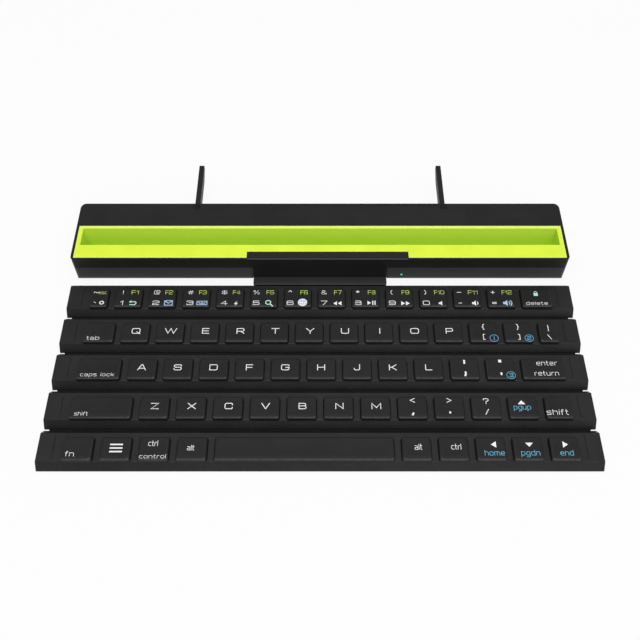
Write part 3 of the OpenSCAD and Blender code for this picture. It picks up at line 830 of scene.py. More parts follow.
@dataclass
class Keycap:
    """A hollow cap with round corners, a soft shoulder all round and a shallow dish in its top.

    The painted highlight on the shoulder fades from the front edge to its side share as a point's way forward
    falls from 1 to 0.82 of half the depth.
    """

    middle_x: float
    front: float
    width: float
    depth: float = 12.1
    foot: float = 3.2
    top: float = KEY_TOP
    shoulder: float = 0.7
    side_run: float = 1.0
    front_run: float = 0.5
    rear_run: float = 0.9
    draft: float = 0.3
    forward: float = 0.1
    side_sheen: float = 0.12
    wall: float = 1.0
    dish: float = 0.1
    corner: float = 0.9
    steps: int = 5

    def _insets(self) -> tuple[np.ndarray, ...]:
        """Works out the outer skin's rings from its foot to the middle of its top.

        The wall is upright to the frame's top and then leans in by the draft. The shoulder is a quarter of an
        ellipse: its height goes with the sine and its run with 1 - cosine. The top then runs in to the middle
        line, and the dish falls as 1 - (1 - share)^2 of the way in.

        Returns:
            Heights, insets at the sides, front and rear, corner radii and painted highlight strength, one
            value per ring.
        """
        turn = np.linspace(0, math.pi / 2, 6)
        rise = self.top - self.shoulder * (1 - np.sin(turn))
        lean = self.draft * (rise - ROW_TOP) / (self.top - ROW_TOP)
        share = 1 - np.cos(turn)
        half = (self.depth - self.front_run - self.rear_run - 2 * self.draft) / 2
        inward = np.array([0.12, 0.4, 0.7, 0.96])
        run = inward * half
        z = np.concatenate([[self.foot, ROW_TOP], rise, self.top - self.dish * (1 - (1 - inward) ** 2)])
        rings = [
            np.concatenate([[0, 0], lean + amount * share, self.draft + amount + run])
            for amount in (self.side_run, self.front_run, self.rear_run)
        ]
        crown = np.maximum(1.4 - run * 0.3, 0.3)
        radius = np.concatenate([[self.corner] * 2, self.corner + 0.2 * share, crown])
        # Painted highlight strength round the shoulder, highest half way round it.
        edge_sheen = np.concatenate([[0, 0], np.sin(turn * 2) ** 0.5 * 0.9 + 0.1, [0.15, 0, 0, 0]])
        return z, rings[0], rings[1], rings[2], radius, edge_sheen

    def height_at(self, x: np.ndarray, y: np.ndarray) -> np.ndarray:
        """Returns the top's height at points given from the cap's middle, by the dish's own rule."""
        half_x = self.width / 2 - self.draft - self.side_run
        low = -self.depth / 2 + self.draft + self.front_run
        high = self.depth / 2 - self.draft - self.rear_run
        inside = np.minimum(half_x - np.abs(x), np.minimum(y - low, high - y))
        share = np.clip(inside / ((high - low) / 2), 0, 1)
        return self.top - self.dish * (1 - (1 - share) ** 2)

    def add_to(self, solid: Solid) -> None:
        """Adds the hollow cap and its plunger to a surface."""
        z, side, front, rear, radius, edge_sheen = self._insets()
        inner = self.wall + self.draft
        deep = self.depth / 2 - inner
        ceiling = self.top - self.wall
        z = np.concatenate([[ceiling, ceiling, self.foot], z])
        side = np.concatenate([[inner + deep * 0.9, inner, inner - 0.2], side])
        front = np.concatenate([[inner + deep * 0.9, inner, inner - 0.2], front])
        rear = np.concatenate([[inner + deep * 0.9, inner, inner - 0.2], rear])
        radius = np.concatenate([[0.3, 0.6, 0.7], radius])
        edge_sheen = np.concatenate([[0, 0, 0], edge_sheen])
        reach = np.concatenate([[0, 0, 0], np.full(len(z) - 3, self.forward)])
        half_y = (self.depth - front - rear) / 2 + reach / 2
        middle_y = self.front + self.depth / 2 + (front - rear) / 2 - reach / 2
        loops = rounded_loops(
            np.full(len(z), self.middle_x), middle_y, self.width / 2 - side, half_y, radius, self.steps
        )
        around = loops.shape[1]
        heights = np.broadcast_to(z[:, None, None], (len(z), around, 1))
        points = np.concatenate([loops, heights], -1).reshape(-1, 3)
        # The painted highlight is full on the front shoulder and falls to the side share elsewhere.
        ahead = (middle_y[:, None] - loops[:, :, 1]) / half_y[:, None]
        facing = self.side_sheen + (1 - self.side_sheen) * np.clip((ahead - 0.82) / 0.18, 0, 1)
        solid.add(points, closed_sleeve(len(z), around), (edge_sheen[:, None] * facing).ravel())
        levels = [self.foot - 0.04, self.foot + 0.2, ceiling]
        stem = lathe((self.middle_x, self.front + self.depth / 2), [1.0, 1.2, 1.2], levels, 16)
        solid.add(stem, closed_sleeve(3, 16))


GLYPHS: dict[str, tuple[float, str]] = {
    "A": (1.3, "0,0 .42,1 .58,1 1,0|.16,.32 .84,.32"),
    "B": (1.15, "0,0 0,1 .94,1~ .94,.53~ 0,.53|.5,.53 1,.53~ 1,0~ 0,0"),
    "C": (1.2, "1,.72 1,1~ 0,1~ 0,0~ 1,0~ 1,.28"),
    "D": (1.25, "0,0 0,1 1,1~ 1,0~ 0,0"),
    "E": (1.1, "1,1 0,1 0,0 1,0|0,.51 .93,.51"),
    "F": (1.05, "1,1 0,1 0,0|0,.48 .9,.48"),
    "G": (1.25, "1,.76 1,1~ 0,1~ 0,0~ 1,0~ 1,.48 .58,.48"),
    "H": (1.2, "0,0 0,1|1,0 1,1|0,.52 1,.52"),
    "I": (0.0, "0,0 0,1"),
    "J": (0.9, "1,1 1,0~ 0,0~ 0,.3"),
    "K": (1.15, "0,0 0,1|1,1 .34,.52 1,0|0,.52 .34,.52"),
    "L": (1.0, "0,1 0,0 1,0"),
    "M": (1.45, "0,0 0,1 .5,.2 1,1 1,0"),
    "N": (1.2, "0,0 0,1 1,0 1,1"),
    "O": (1.35, "0,0~ 1,0~ 1,1~ 0,1~ z"),
    "P": (1.15, "0,0 0,1 1,1~ 1,.42~ 0,.42"),
    "Q": (1.35, "0,0~ 1,0~ 1,1~ 0,1~ z|.62,.3 1.04,-.08"),
    "R": (1.2, "0,0 0,1 1,1~ 1,.42~ 0,.42|.5,.42 1,0"),
    "S": (1.2, "1,.76 1,1~ 0,1~ 0,.52~ 1,.52~ 1,0~ 0,0~ 0,.24"),
    "T": (1.2, "0,1 1,1|.5,1 .5,0"),
    "U": (1.25, "0,1 0,0~ 1,0~ 1,1"),
    "V": (1.3, "0,1 .5,0 1,1"),
    "W": (1.95, "0,1 .25,0 .5,1 .75,0 1,1"),
    "X": (1.25, "0,0 1,1|0,1 1,0"),
    "Y": (1.25, "0,1 .5,.42 1,1|.5,.42 .5,0"),
    "Z": (1.2, "0,1 1,1 0,0 1,0"),
    "0": (1.35, "0,0~ 1,0~ 1,1~ 0,1~ z"),
    "1": (0.6, "0,.7 .8,1 .8,0"),
    "2": (1.35, "0,.76 0,1~ 1,1~ 1,.54~ 0,.36~ 0,0 1,0"),
    "3": (1.35, "0,.8 0,1~ 1,1~ 1,.53~ .35,.53|.7,.53 1,.53~ 1,0~ 0,0~ 0,.22"),
    "4": (1.35, ".74,0 .74,1 0,.28 1,.28"),
    "5": (1.35, ".95,1 .05,1 .05,.56 1,.56~ 1,0~ 0,0~ 0,.2"),
    "6": (1.35, ".95,.84 .95,1~ 0,1~ 0,0~ 1,0~ 1,.56~ 0,.56"),
    "7": (1.3, "0,1 1,1 .34,0"),
    "8": (1.35, "0,0~ 1,0~ 1,.53~ 0,.53~ z|.05,.53~ .95,.53~ .95,1~ .05,1~ z"),
    "9": (1.35, ".05,.16 .05,0~ 1,0~ 1,1~ 0,1~ 0,.44~ 1,.44"),
    "a": (0.85, ".06,.72 1,.72~ 1,0 0,0~ 0,.4~ 1,.4"),
    "b": (0.85, "0,1 0,0 1,0~ 1,.72~ 0,.72"),
    "c": (0.8, "1,.72 0,.72~ 0,0~ 1,0"),
    "d": (0.85, "1,1 1,0 0,0~ 0,.72~ 1,.72"),
    "e": (0.85, ".95,0 0,0~ 0,.72~ 1,.72~ 1,.36 0,.36"),
    "f": (0.5, ".9,1 .3,1~ .3,0|0,.7 .85,.7"),
    "g": (0.85, "1,0 0,0~ 0,.72~ 1,.72 1,-.34~ .05,-.34"),
    "h": (0.85, "0,1 0,0|0,.72 1,.72~ 1,0"),
    "i": (0.0, "0,0 0,.72|0,.94 0,1"),
    "k": (0.8, "0,0 0,1|.95,.72 .3,.38 1,0|0,.38 .3,.38"),
    "l": (0.0, "0,1 0,0"),
    "m": (1.35, "0,0 0,.72 1,.72~ 1,0|.5,.72 .5,0"),
    "n": (0.85, "0,0 0,.72 1,.72~ 1,0"),
    "o": (0.9, "0,0~ 1,0~ 1,.72~ 0,.72~ z"),
    "p": (0.85, "0,-.34 0,.72 1,.72~ 1,0~ 0,0"),
    "r": (0.55, "0,0 0,.72~ .95,.72"),
    "s": (0.8, "1,.72 0,.72~ 0,.36~ 1,.36~ 1,0~ 0,0"),
    "t": (0.5, ".3,1 .3,0~ .95,0|0,.7 .9,.7"),
    "u": (0.85, "0,.72 0,0~ 1,0 1,.72"),
    " ": (0.45, ""),
    "~": (1.1, "0,.4 .12,.62~ .42,.62~ .58,.4~ .88,.4~ 1,.62"),
    "`": (0.35, "0,1 1,.74"),
    "!": (0.0, "0,1 0,.32|0,.08 0,0"),
    "@": (1.25, ".95,0 0,0~ 0,1~ 1,1~ 1,.26~ .66,.26|.34,.26~ .68,.26~ .68,.72~ .34,.72~ z"),
    "#": (1.1, ".25,0 .38,1|.65,0 .78,1|0,.32 .95,.32|.05,.68 1,.68"),
    "$": (1.1, "1,.78 1,.9~ 0,.9~ 0,.52~ 1,.52~ 1,.1~ 0,.1~ 0,.22|.5,-.06 .5,1.06"),
    "%": (1.3, ".2,0 .8,1|0,.6~ .3,.6~ .3,1~ 0,1~ z|.7,0~ 1,0~ 1,.4~ .7,.4~ z"),
    "^": (0.7, "0,.62 .5,1 1,.62"),
    "&": (1.1, "1,0 .15,.64 .15,1~ .72,1~ .72,.66~ 0,.4~ 0,0~ .72,0~ 1,.36"),
    "*": (0.7, ".5,.96 .5,.4|.04,.82 .96,.54|.04,.54 .96,.82"),
    "(": (0.28, "1,1.06 0,.8~ 0,.2~ 1,-.06"),
    ")": (0.28, "0,1.06 1,.8~ 1,.2~ 0,-.06"),
    "_": (0.9, "0,.5 1,.5"),
    "-": (0.6, "0,.45 1,.45"),
    "+": (0.85, "0,.5 1,.5|.5,.9 .5,.1"),
    "=": (0.85, "0,.64 1,.64|0,.3 1,.3"),
    "{": (0.4, "1,1.1 .5,1.1~ .5,.5~ 0,.5|0,.5 .5,.5~ .5,-.1~ 1,-.1"),
    "}": (0.4, "0,1.1 .5,1.1~ .5,.5~ 1,.5|1,.5 .5,.5~ .5,-.1~ 0,-.1"),
    "[": (0.3, "1,1.1 0,1.1 0,-.1 1,-.1"),
    "]": (0.3, "0,1.1 1,1.1 1,-.1 0,-.1"),
    "|": (0.0, "0,1.15 0,-.15"),
    "\\": (0.6, "0,1 1,0"),
    "/": (0.6, "0,0 1,1"),
    ":": (0.0, "0,.1 0,0|0,.66 0,.56"),
    ";": (0.16, "1,.66 1,.56|1,.1 0,-.22"),
    '"': (0.3, "0,1 0,.68|1,1 1,.68"),
    "'": (0.0, "0,1 0,.68"),
    "<": (0.8, "1,.86 0,.46 1,.06"),
    ">": (0.8, "0,.86 1,.46 0,.06"),
    ",": (0.16, "1,.1 0,-.22"),
    ".": (0.0, "0,.1 0,0"),
    "?": (0.9, "0,.76 0,1~ 1,1~ 1,.54~ .5,.42~ .5,.3|.5,.08 .5,0"),
}


def rounded_line(corners: np.ndarray, soft: Sequence[bool], reach: float, closed: bool) -> np.ndarray:
    """Rounds the marked corners of a line.

    A round corner is a quadratic curve from a point on the leg before it to one on the leg after it, each
    the reach away or half the leg, with the corner itself as the curve's control point.

    Args:
        corners: the corners, one per row.
        soft: which of them are round.
        reach: how far along its legs a round corner starts.
        closed: whether the last corner joins the first.

    Returns:
        The points of the line.
    """
    share = np.linspace(0, 1, 5)[:, None]
    made = []
    for place, here in enumerate(corners):
        inner = closed or 0 < place < len(corners) - 1
        if not (soft[place] and inner):
            made.append(here[None])
            continue
        before, after = corners[place - 1] - here, corners[(place + 1) % len(corners)] - here
        start = here + before * min(reach / max(np.linalg.norm(before), 1e-6), 0.5)
        end = here + after * min(reach / max(np.linalg.norm(after), 1e-6), 0.5)
        made.append((1 - share) ** 2 * start + 2 * share * (1 - share) * here + share**2 * end)
    line = np.concatenate(made)
    apart = np.ones(len(line), bool)
    apart[1:] = np.linalg.norm(np.diff(line, axis=0), axis=1) > 1e-4
    return line[apart]


def band(line: np.ndarray, width: float, closed: bool) -> Shape:
    """Widens a line into a flat band of quads.

    Each point gives two, half the width to either side along the sum of its neighbouring stretches' normals
    over 1 plus their product, which keeps the band's width through a corner. Open ends run on by half the
    width.

    Args:
        line: the middle line's points.
        width: the band's width.
        closed: whether the last point joins the first.

    Returns:
        Points and faces.
    """
    line = line.copy()
    if closed:
        along = np.roll(line, -1, axis=0) - line
    else:
        along = np.diff(line, axis=0)
    along /= np.linalg.norm(along, axis=1)[:, None]
    if closed:
        before, after = np.roll(along, 1, axis=0), along
    else:
        line[0] -= along[0] * width / 2
        line[-1] += along[-1] * width / 2
        before, after = np.vstack([along[:1], along]), np.vstack([along, along[-1:]])
    first, second = (np.stack([-way[:, 1], way[:, 0]], 1) for way in (before, after))
    mitre = (first + second) / np.maximum(1 + np.sum(first * second, axis=1), 0.5)[:, None] * width / 2
    count = len(line)
    last = count if closed else count - 1
    faces = [(i, (i + 1) % count, count + (i + 1) % count, count + i) for i in range(last)]
    return np.vstack([line + mitre, line - mitre]), faces


class Lettering:
    """Wide, square lettering drawn with strokes of one width.

    A glyph is its width in capital heights and its strokes, whose corners are shares of that width and of
    the capital height. A mark after a corner rounds it, and a last z closes the stroke.
    """

    points = ".,:;'\""
    signs = "@#$%&"
    apart = 0.36
    softness = 0.3

    def _stroke(self, word: str, height: float) -> float:
        """Returns the strokes' width: thin in words and crowded signs, thick in points."""
        if len(word) > 1 or word in self.signs:
            return height * 0.09
        return height * (0.3 if word in self.points else 0.118)

    def word(self, word: str, height: float, width: float = 0.0) -> list[Shape]:
        """Draws a word about its own middle.

        Args:
            word: the letters.
            height: the capitals' height over all.
            width: the word's width over all, or 0 for the glyphs' own.

        Returns:
            One flat band per stroke, in millimetres.
        """
        stroke = self._stroke(word, height)
        tall = height - stroke
        length = sum(GLYPHS[c][0] for c in word) + self.apart * (len(word) - 1)
        unit = (width - stroke) / length if width else tall
        left = -length * unit / 2
        shapes = []
        for letter in word:
            wide, strokes = GLYPHS[letter]
            for path in filter(None, strokes.split("|")):
                marks = path.split()
                closed = marks[-1] == "z"
                marks = marks[:-1] if closed else marks
                soft = [mark.endswith("~") for mark in marks]
                corners = np.array([[float(v) for v in mark.rstrip("~").split(",")] for mark in marks])
                corners = corners * np.array([wide * unit, tall]) + np.array([left, -tall / 2])
                shapes.append(band(rounded_line(corners, soft, tall * self.softness, closed), stroke, closed))
            left += (wide + self.apart) * unit
        return shapes


class Drawing:
    """Strokes, rings and areas that an icon is drawn with, in units of half its size."""

    def __init__(self) -> None:
        """Starts with no shapes."""
        self.shapes: list[Shape] = []

    def area(self, *points: tuple[float, float]) -> "Drawing":
        """Adds a filled outline."""
        self.shapes.append((np.array(points, float), [tuple(range(len(points)))]))
        return self

    def strokes(self, width: float, *points: tuple[float, float]) -> "Drawing":
        """Adds a line of that width through the points; each stretch is a rectangle about its middle line."""
        line = np.array(points, float)
        along = np.diff(line, axis=0)
        along /= np.linalg.norm(along, axis=1)[:, None]
        across = np.stack([-along[:, 1], along[:, 0]], 1) * width / 2
        start, end = line[:-1] - along * width * 0.35, line[1:] + along * width * 0.35
        for a, b, c in zip(start, end, across):
            self.shapes.append((np.array([a - c, b - c, b + c, a + c]), [(0, 1, 2, 3)]))
        return self

    def ring(
        self,
        middle: tuple[float, float],
        radius: tuple[float, float],
        width: float,
        start: float = 0.0,
        end: float = 360.0,
    ) -> "Drawing":
        """Adds part of an elliptical ring, from points half the width inside and outside the radius."""
        whole = end - start >= 360.0
        angle = np.radians(np.linspace(start, end, 25 if whole else 10))
        unit = np.stack([np.cos(angle), np.sin(angle)], 1)
        inner = np.array(middle) + unit * (np.array(radius) - width / 2)
        outer = np.array(middle) + unit * (np.array(radius) + width / 2)
        count = len(angle)
        faces = [(i, count + i, count + i + 1, i + 1) for i in range(count - 1)]
        self.shapes.append((np.concatenate([inner, outer]), faces))
        return self

    def speaker(self) -> "Drawing":
        """Adds a loudspeaker seen from its side."""
        return self.area((-0.9, 0.3), (-0.9, -0.3), (-0.5, -0.3), (0.0, -0.75), (0.0, 0.75), (-0.5, 0.3))

    def pointer(self, x: float, half: float, way: float) -> "Drawing":
        """Adds a triangle that starts at x and points to the left (-1) or right (1)."""
        return self.area((x, half), (x, -half), (x + way * half * 1.5, 0.0))


def drawn(icon: Icon) -> Drawing:
    """Draws one icon.

    Args:
        icon: which one.

    Returns:
        The drawing, in units of half the icon's size.
    """
    d = Drawing()
    if icon is Icon.BACK:
        d.area((-1.0, 0.35), (-0.4, -0.1), (-0.4, 0.8))
        d.strokes(0.26, (-0.5, 0.35), (0.6, 0.35), (0.9, 0.0), (0.6, -0.6), (-0.7, -0.6))
    elif icon is Icon.MAIL:
        d.strokes(0.2, (-1.0, -0.7), (1.0, -0.7), (1.0, 0.7), (-1.0, 0.7), (-1.0, -0.7))
        d.strokes(0.2, (-0.9, 0.6), (0.0, -0.1), (0.9, 0.6))
    elif icon is Icon.BOARD:
        d.strokes(0.2, (-1.4, -0.6), (1.4, -0.6), (1.4, 0.6), (-1.4, 0.6), (-1.4, -0.6))
        d.strokes(0.22, (-1.0, 0.15), (-0.7, 0.15)).strokes(0.22, (-0.2, 0.15), (0.2, 0.15))
        d.strokes(0.22, (0.7, 0.15), (1.0, 0.15)).strokes(0.22, (-0.7, -0.25), (0.7, -0.25))
    elif icon is Icon.BOLT:
        d.area((0.35, 1.0), (-0.6, -0.15), (-0.05, -0.15), (0.05, 0.25))
        d.area((-0.35, -1.0), (0.6, 0.15), (0.05, 0.15), (-0.05, -0.25))
    elif icon is Icon.SEARCH:
        d.ring((-0.2, 0.2), (0.55, 0.55), 0.24).strokes(0.3, (0.25, -0.25), (0.8, -0.8))
    elif icon is Icon.GLOBE:
        d.ring((0, 0), (0.9, 0.9), 0.18).ring((0, 0), (0.42, 0.88), 0.14)
        d.strokes(0.14, (-0.85, 0.0), (0.85, 0.0)).strokes(0.14, (0.0, -0.85), (0.0, 0.85))
    elif icon is Icon.REWIND:
        d.pointer(0.05, 0.5, -1).pointer(0.95, 0.5, -1)
    elif icon is Icon.FORWARD:
        d.pointer(-0.95, 0.5, 1).pointer(-0.05, 0.5, 1)
    elif icon is Icon.PLAY:
        d.pointer(-1.0, 0.55, 1).strokes(0.24, (0.2, -0.5), (0.2, 0.5)).strokes(0.24, (0.7, -0.5), (0.7, 0.5))
    elif icon in (Icon.MUTE, Icon.QUIETER, Icon.LOUDER):
        d.speaker()
        if icon is not Icon.MUTE:
            d.ring((0.05, 0), (0.4, 0.45), 0.2, -55, 55)
        if icon is Icon.LOUDER:
            d.ring((0.05, 0), (0.85, 0.85), 0.2, -50, 50)
    elif icon is Icon.LOCK:
        d.area((-0.6, -0.85), (0.6, -0.85), (0.6, 0.1), (-0.6, 0.1)).ring((0, 0.1), (0.38, 0.6), 0.2, 0, 180)
    elif icon in (Icon.LEFT, Icon.RIGHT):
        d.pointer(0.6 if icon is Icon.LEFT else -0.6, 0.8, -1 if icon is Icon.LEFT else 1)
    elif icon in (Icon.UP, Icon.DOWN):
        way = 1 if icon is Icon.UP else -1
        d.area((-0.9, -0.45 * way), (0.9, -0.45 * way), (0.0, 0.6 * way))
    elif icon is Icon.BARS:
        for level in (-0.6, 0.0, 0.6):
            d.strokes(0.24, (-0.9, level), (0.9, level))
    elif icon is Icon.DISC:
        turn = np.linspace(0, 2 * math.pi, 33)[:-1]
        d.area(*np.stack([np.cos(turn), np.sin(turn)], 1))
    elif icon is Icon.DOT:
        d.ring((0, 0), (0.5, 0.45), 0.26)
    else:
        d.ring((0, 0), (1.0, 0.95), 0.11)
        if icon is Icon.ONE:
            d.strokes(0.12, (0.0, -0.5), (0.0, 0.5))
        elif icon is Icon.TWO:
            d.strokes(0.12, (-0.4, 0.45), (0.4, 0.45), (0.4, 0.0), (-0.4, 0.0), (-0.4, -0.45), (0.4, -0.45))
        else:
            d.strokes(0.12, (-0.4, 0.45), (0.4, 0.45), (0.4, -0.45), (-0.4, -0.45))
            d.strokes(0.12, (-0.2, 0.0), (0.4, 0.0))
    return d


@dataclass(frozen=True)
class Legend:
    """One word or icon on a key: its middle from the key's middle line and front edge, and its size."""

    mark: Union[str, Icon]
    x: float
    y: float
    height: float
    ink: Ink = Ink.WHITE
    width: float = 0.0


class Printing:
    """Gathers the printed marks of each body and ink, and makes one piece of each."""

    film = 0.02
    layer = 0.002
    sunk = 0.06

    def __init__(self) -> None:
        """Starts with no marks."""
        self.lettering = Lettering()
        self.solids: dict[tuple[str, Ink], Solid] = {}

    def _shapes(self, legend: Legend) -> list[Shape]:
        """Returns a legend's flat shapes in millimetres about its own middle."""
        if isinstance(legend.mark, Icon):
            return [(points * legend.height / 2, faces) for points, faces in drawn(legend.mark).shapes]
        return self.lettering.word(legend.mark, legend.height, legend.width)

    def print_on(self, cap: Keycap, body: str, legends: Iterable[Legend]) -> None:
        """Puts legends on a cap as thin films that follow its dished top.

        Each film's upper side is its outline at the top's height plus the film's thickness, its lower side is
        sunk a little below the top, and every edge that only one face uses gets an upright side.

        Args:
            cap: the keycap.
            body: the body that the cap rides on.
            legends: what is printed on it.
        """
        for order, legend in enumerate(legends):
            solid = self.solids.setdefault((body, legend.ink), Solid())
            for number, (flat, faces) in enumerate(self._shapes(legend)):
                local = flat + np.array([legend.x, legend.y - cap.depth / 2])
                area = [
                    np.sum(x * np.roll(y, -1) - np.roll(x, -1) * y)
                    for x, y in (flat[list(f)].T for f in faces)
                ]
                up = [tuple(f) if a > 0 else tuple(reversed(f)) for f, a in zip(faces, area)]
                edges = [(f[i], f[(i + 1) % len(f)]) for f in up for i in range(len(f))]
                known = set(edges)
                rim = [(a, b) for a, b in edges if (b, a) not in known]
                count = len(flat)
                height = cap.height_at(local[:, 0], local[:, 1])
                plan = local + np.array([cap.middle_x, cap.front + cap.depth / 2])
                upper = np.column_stack([plan, height + self.film + (order * 4 + number % 4) * self.layer])
                lower = np.column_stack([plan, height - self.sunk])
                down = [tuple(i + count for i in reversed(f)) for f in up]
                sides = [(a + count, b + count, b, a) for a, b in rim]
                solid.add(np.concatenate([upper, lower]), up + down + sides)

    def pieces(self, finishes: Finishes) -> None:
        """Makes the pieces."""
        for (body, ink), solid in self.solids.items():
            solid.piece(f"{body}_{ink.value}_legends", finishes[ink], body, crease=20.0)


ICON_MARKS: dict[Icon, tuple[float, Ink, float, float]] = {
    Icon.BACK: (4.0, Ink.TEAL, 2.65, 2.4),
    Icon.MAIL: (4.0, Ink.PALE, 3.55, 2.3),
    Icon.BOARD: (3.7, Ink.PALE, 3.3, 2.3),
    Icon.BOLT: (3.4, Ink.WHITE, 3.3, 2.0),
    Icon.SEARCH: (4.6, Ink.TEAL, 2.8, 2.2),
    Icon.GLOBE: (4.8, Ink.WHITE, 2.5, 2.7),
    Icon.REWIND: (5.2, Ink.WHITE, 2.6, 2.1),
    Icon.PLAY: (4.6, Ink.WHITE, 3.2, 2.4),
    Icon.FORWARD: (5.4, Ink.WHITE, 3.3, 2.1),
    Icon.MUTE: (3.8, Ink.WHITE, 4.3, 2.15),
    Icon.QUIETER: (4.4, Ink.WHITE, 4.2, 2.2),
    Icon.LOUDER: (5.0, Ink.PALE, 2.9, 2.3),
}


def single(mark: str, x: float, y: float) -> list[Legend]:
    """Returns the legend of a letter key."""
    return [Legend(mark, x, y, 3.3)]


def pair(
    upper: str,
    lower: str,
    upper_y: float,
    lower_y: float = 2.9,
    ring: Optional[Icon] = None,
    ring_x: float = 5.0,
) -> list[Legend]:
    """Returns the legends of a key with a sign above another, and perhaps a ringed number."""
    marks = [Legend(upper, 0.1, upper_y, 2.9), Legend(lower, 0.1, lower_y, 2.9)]
    return marks + ([Legend(ring, ring_x, 2.1, 4.2, Ink.BLUE)] if ring else [])


def number(sign: str, digit: str, index: int, icon: Icon) -> list[Legend]:
    """Returns the four legends of a number key, and a disc under the globe."""
    size, ink, x, y = ICON_MARKS[icon]
    left = -3.0 if index < 5 else -3.95
    disc = [Legend(Icon.DISC, x, y, size, Ink.PALE)] if icon is Icon.GLOBE else []
    return [
        Legend(sign, left, 9.1, 2.5),
        Legend(f"F{index}", 3.3, 9.1, 2.5, Ink.LIME, 3.9 if index < 10 else 5.2),
        Legend(digit, left + 0.1, 2.4, 2.7),
        *disc,
        Legend(icon, x, y, size, ink),
    ]


def arrow(
    icon: Icon, word: str, width: float, x: float = 1.0, y: float = 3.7, icon_y: float = 7.9
) -> list[Legend]:
    """Returns the legends of an arrow key."""
    return [Legend(icon, x - 0.1, icon_y, 4.0), Legend(word, x, y, 2.7, Ink.BLUE, width)]


ROW_LEGENDS: list[list[list[Legend]]] = [
    [
        [Legend("~", -1.9, 9.0, 2.6), Legend("esc", 1.4, 9.0, 2.0, Ink.LIME, 3.9),
         Legend("`", -1.9, 1.9, 2.6), Legend(Icon.DOT, 1.7, 2.5, 4.0)],
        number("!", "1", 1, Icon.BACK),
        number("@", "2", 2, Icon.MAIL),
        number("#", "3", 3, Icon.BOARD),
        number("$", "4", 4, Icon.BOLT),
        number("%", "5", 5, Icon.SEARCH),
        number("^", "6", 6, Icon.GLOBE),
        number("&", "7", 7, Icon.REWIND),
        number("*", "8", 8, Icon.PLAY),
        number("(", "9", 9, Icon.FORWARD),
        number(")", "0", 10, Icon.MUTE),
        number("_", "-", 11, Icon.QUIETER),
        number("+", "=", 12, Icon.LOUDER),
        [Legend(Icon.LOCK, -0.05, 8.4, 3.6, Ink.TEAL), Legend("delete", -0.2, 2.2, 2.1, width=11.2)],
    ],
    [[Legend("tab", -2.55, 2.3, 2.2, width=6.4)], *[single(c, 0.5, 6.5) for c in "QWERTYUIOP"],
     pair("{", "[", 8.95, ring=Icon.ONE), pair("}", "]", 8.95, ring=Icon.TWO), pair("|", "\\", 8.2)],
    [[Legend("caps lock", -0.25, 2.5, 2.0, width=16.6)], *[single(c, -0.05, 6.55) for c in "ASDFGHJKL"],
     pair(":", ";", 10.0, 3.4), pair('"', "'", 9.4, 2.2, Icon.THREE, 4.7),
     [Legend("enter", 2.0, 9.0, 2.6, width=10.2), Legend("return", 1.15, 3.2, 2.6, width=11.9)]],
    [[Legend("shift", -8.8, 2.5, 2.0, width=6.4)], *[single(c, 0.4, 6.55) for c in "ZXCVBNM"],
     pair("<", ",", 9.7, 3.4), pair(">", ".", 9.7, 4.0), pair("?", "/", 9.2, 3.4),
     arrow(Icon.UP, "pgup", 8.2, -0.5, 6.0, 8.4), [Legend("shift", -1.05, 3.3, 2.9, width=10.4)]],
    [
        [Legend("fn", -3.1, 3.2, 2.6, width=4.1)],
        [Legend(Icon.BARS, 0.3, 6.1, 6.0)],
        [Legend("ctrl", -0.4, 8.5, 2.7, width=4.4), Legend("control", 0.0, 1.9, 2.0, width=12.2)],
        [Legend("alt", -0.4, 6.3, 2.7, width=3.4)],
        [],
        [Legend("alt", 0.8, 6.7, 2.9, width=3.6)],
        [Legend("ctrl", 1.1, 6.8, 2.8, width=4.6)],
        arrow(Icon.LEFT, "home", 9.2, 1.4),
        arrow(Icon.DOWN, "pgdn", 8.7, 0.8),
        arrow(Icon.RIGHT, "end", 6.1, 0.35),
    ],
]


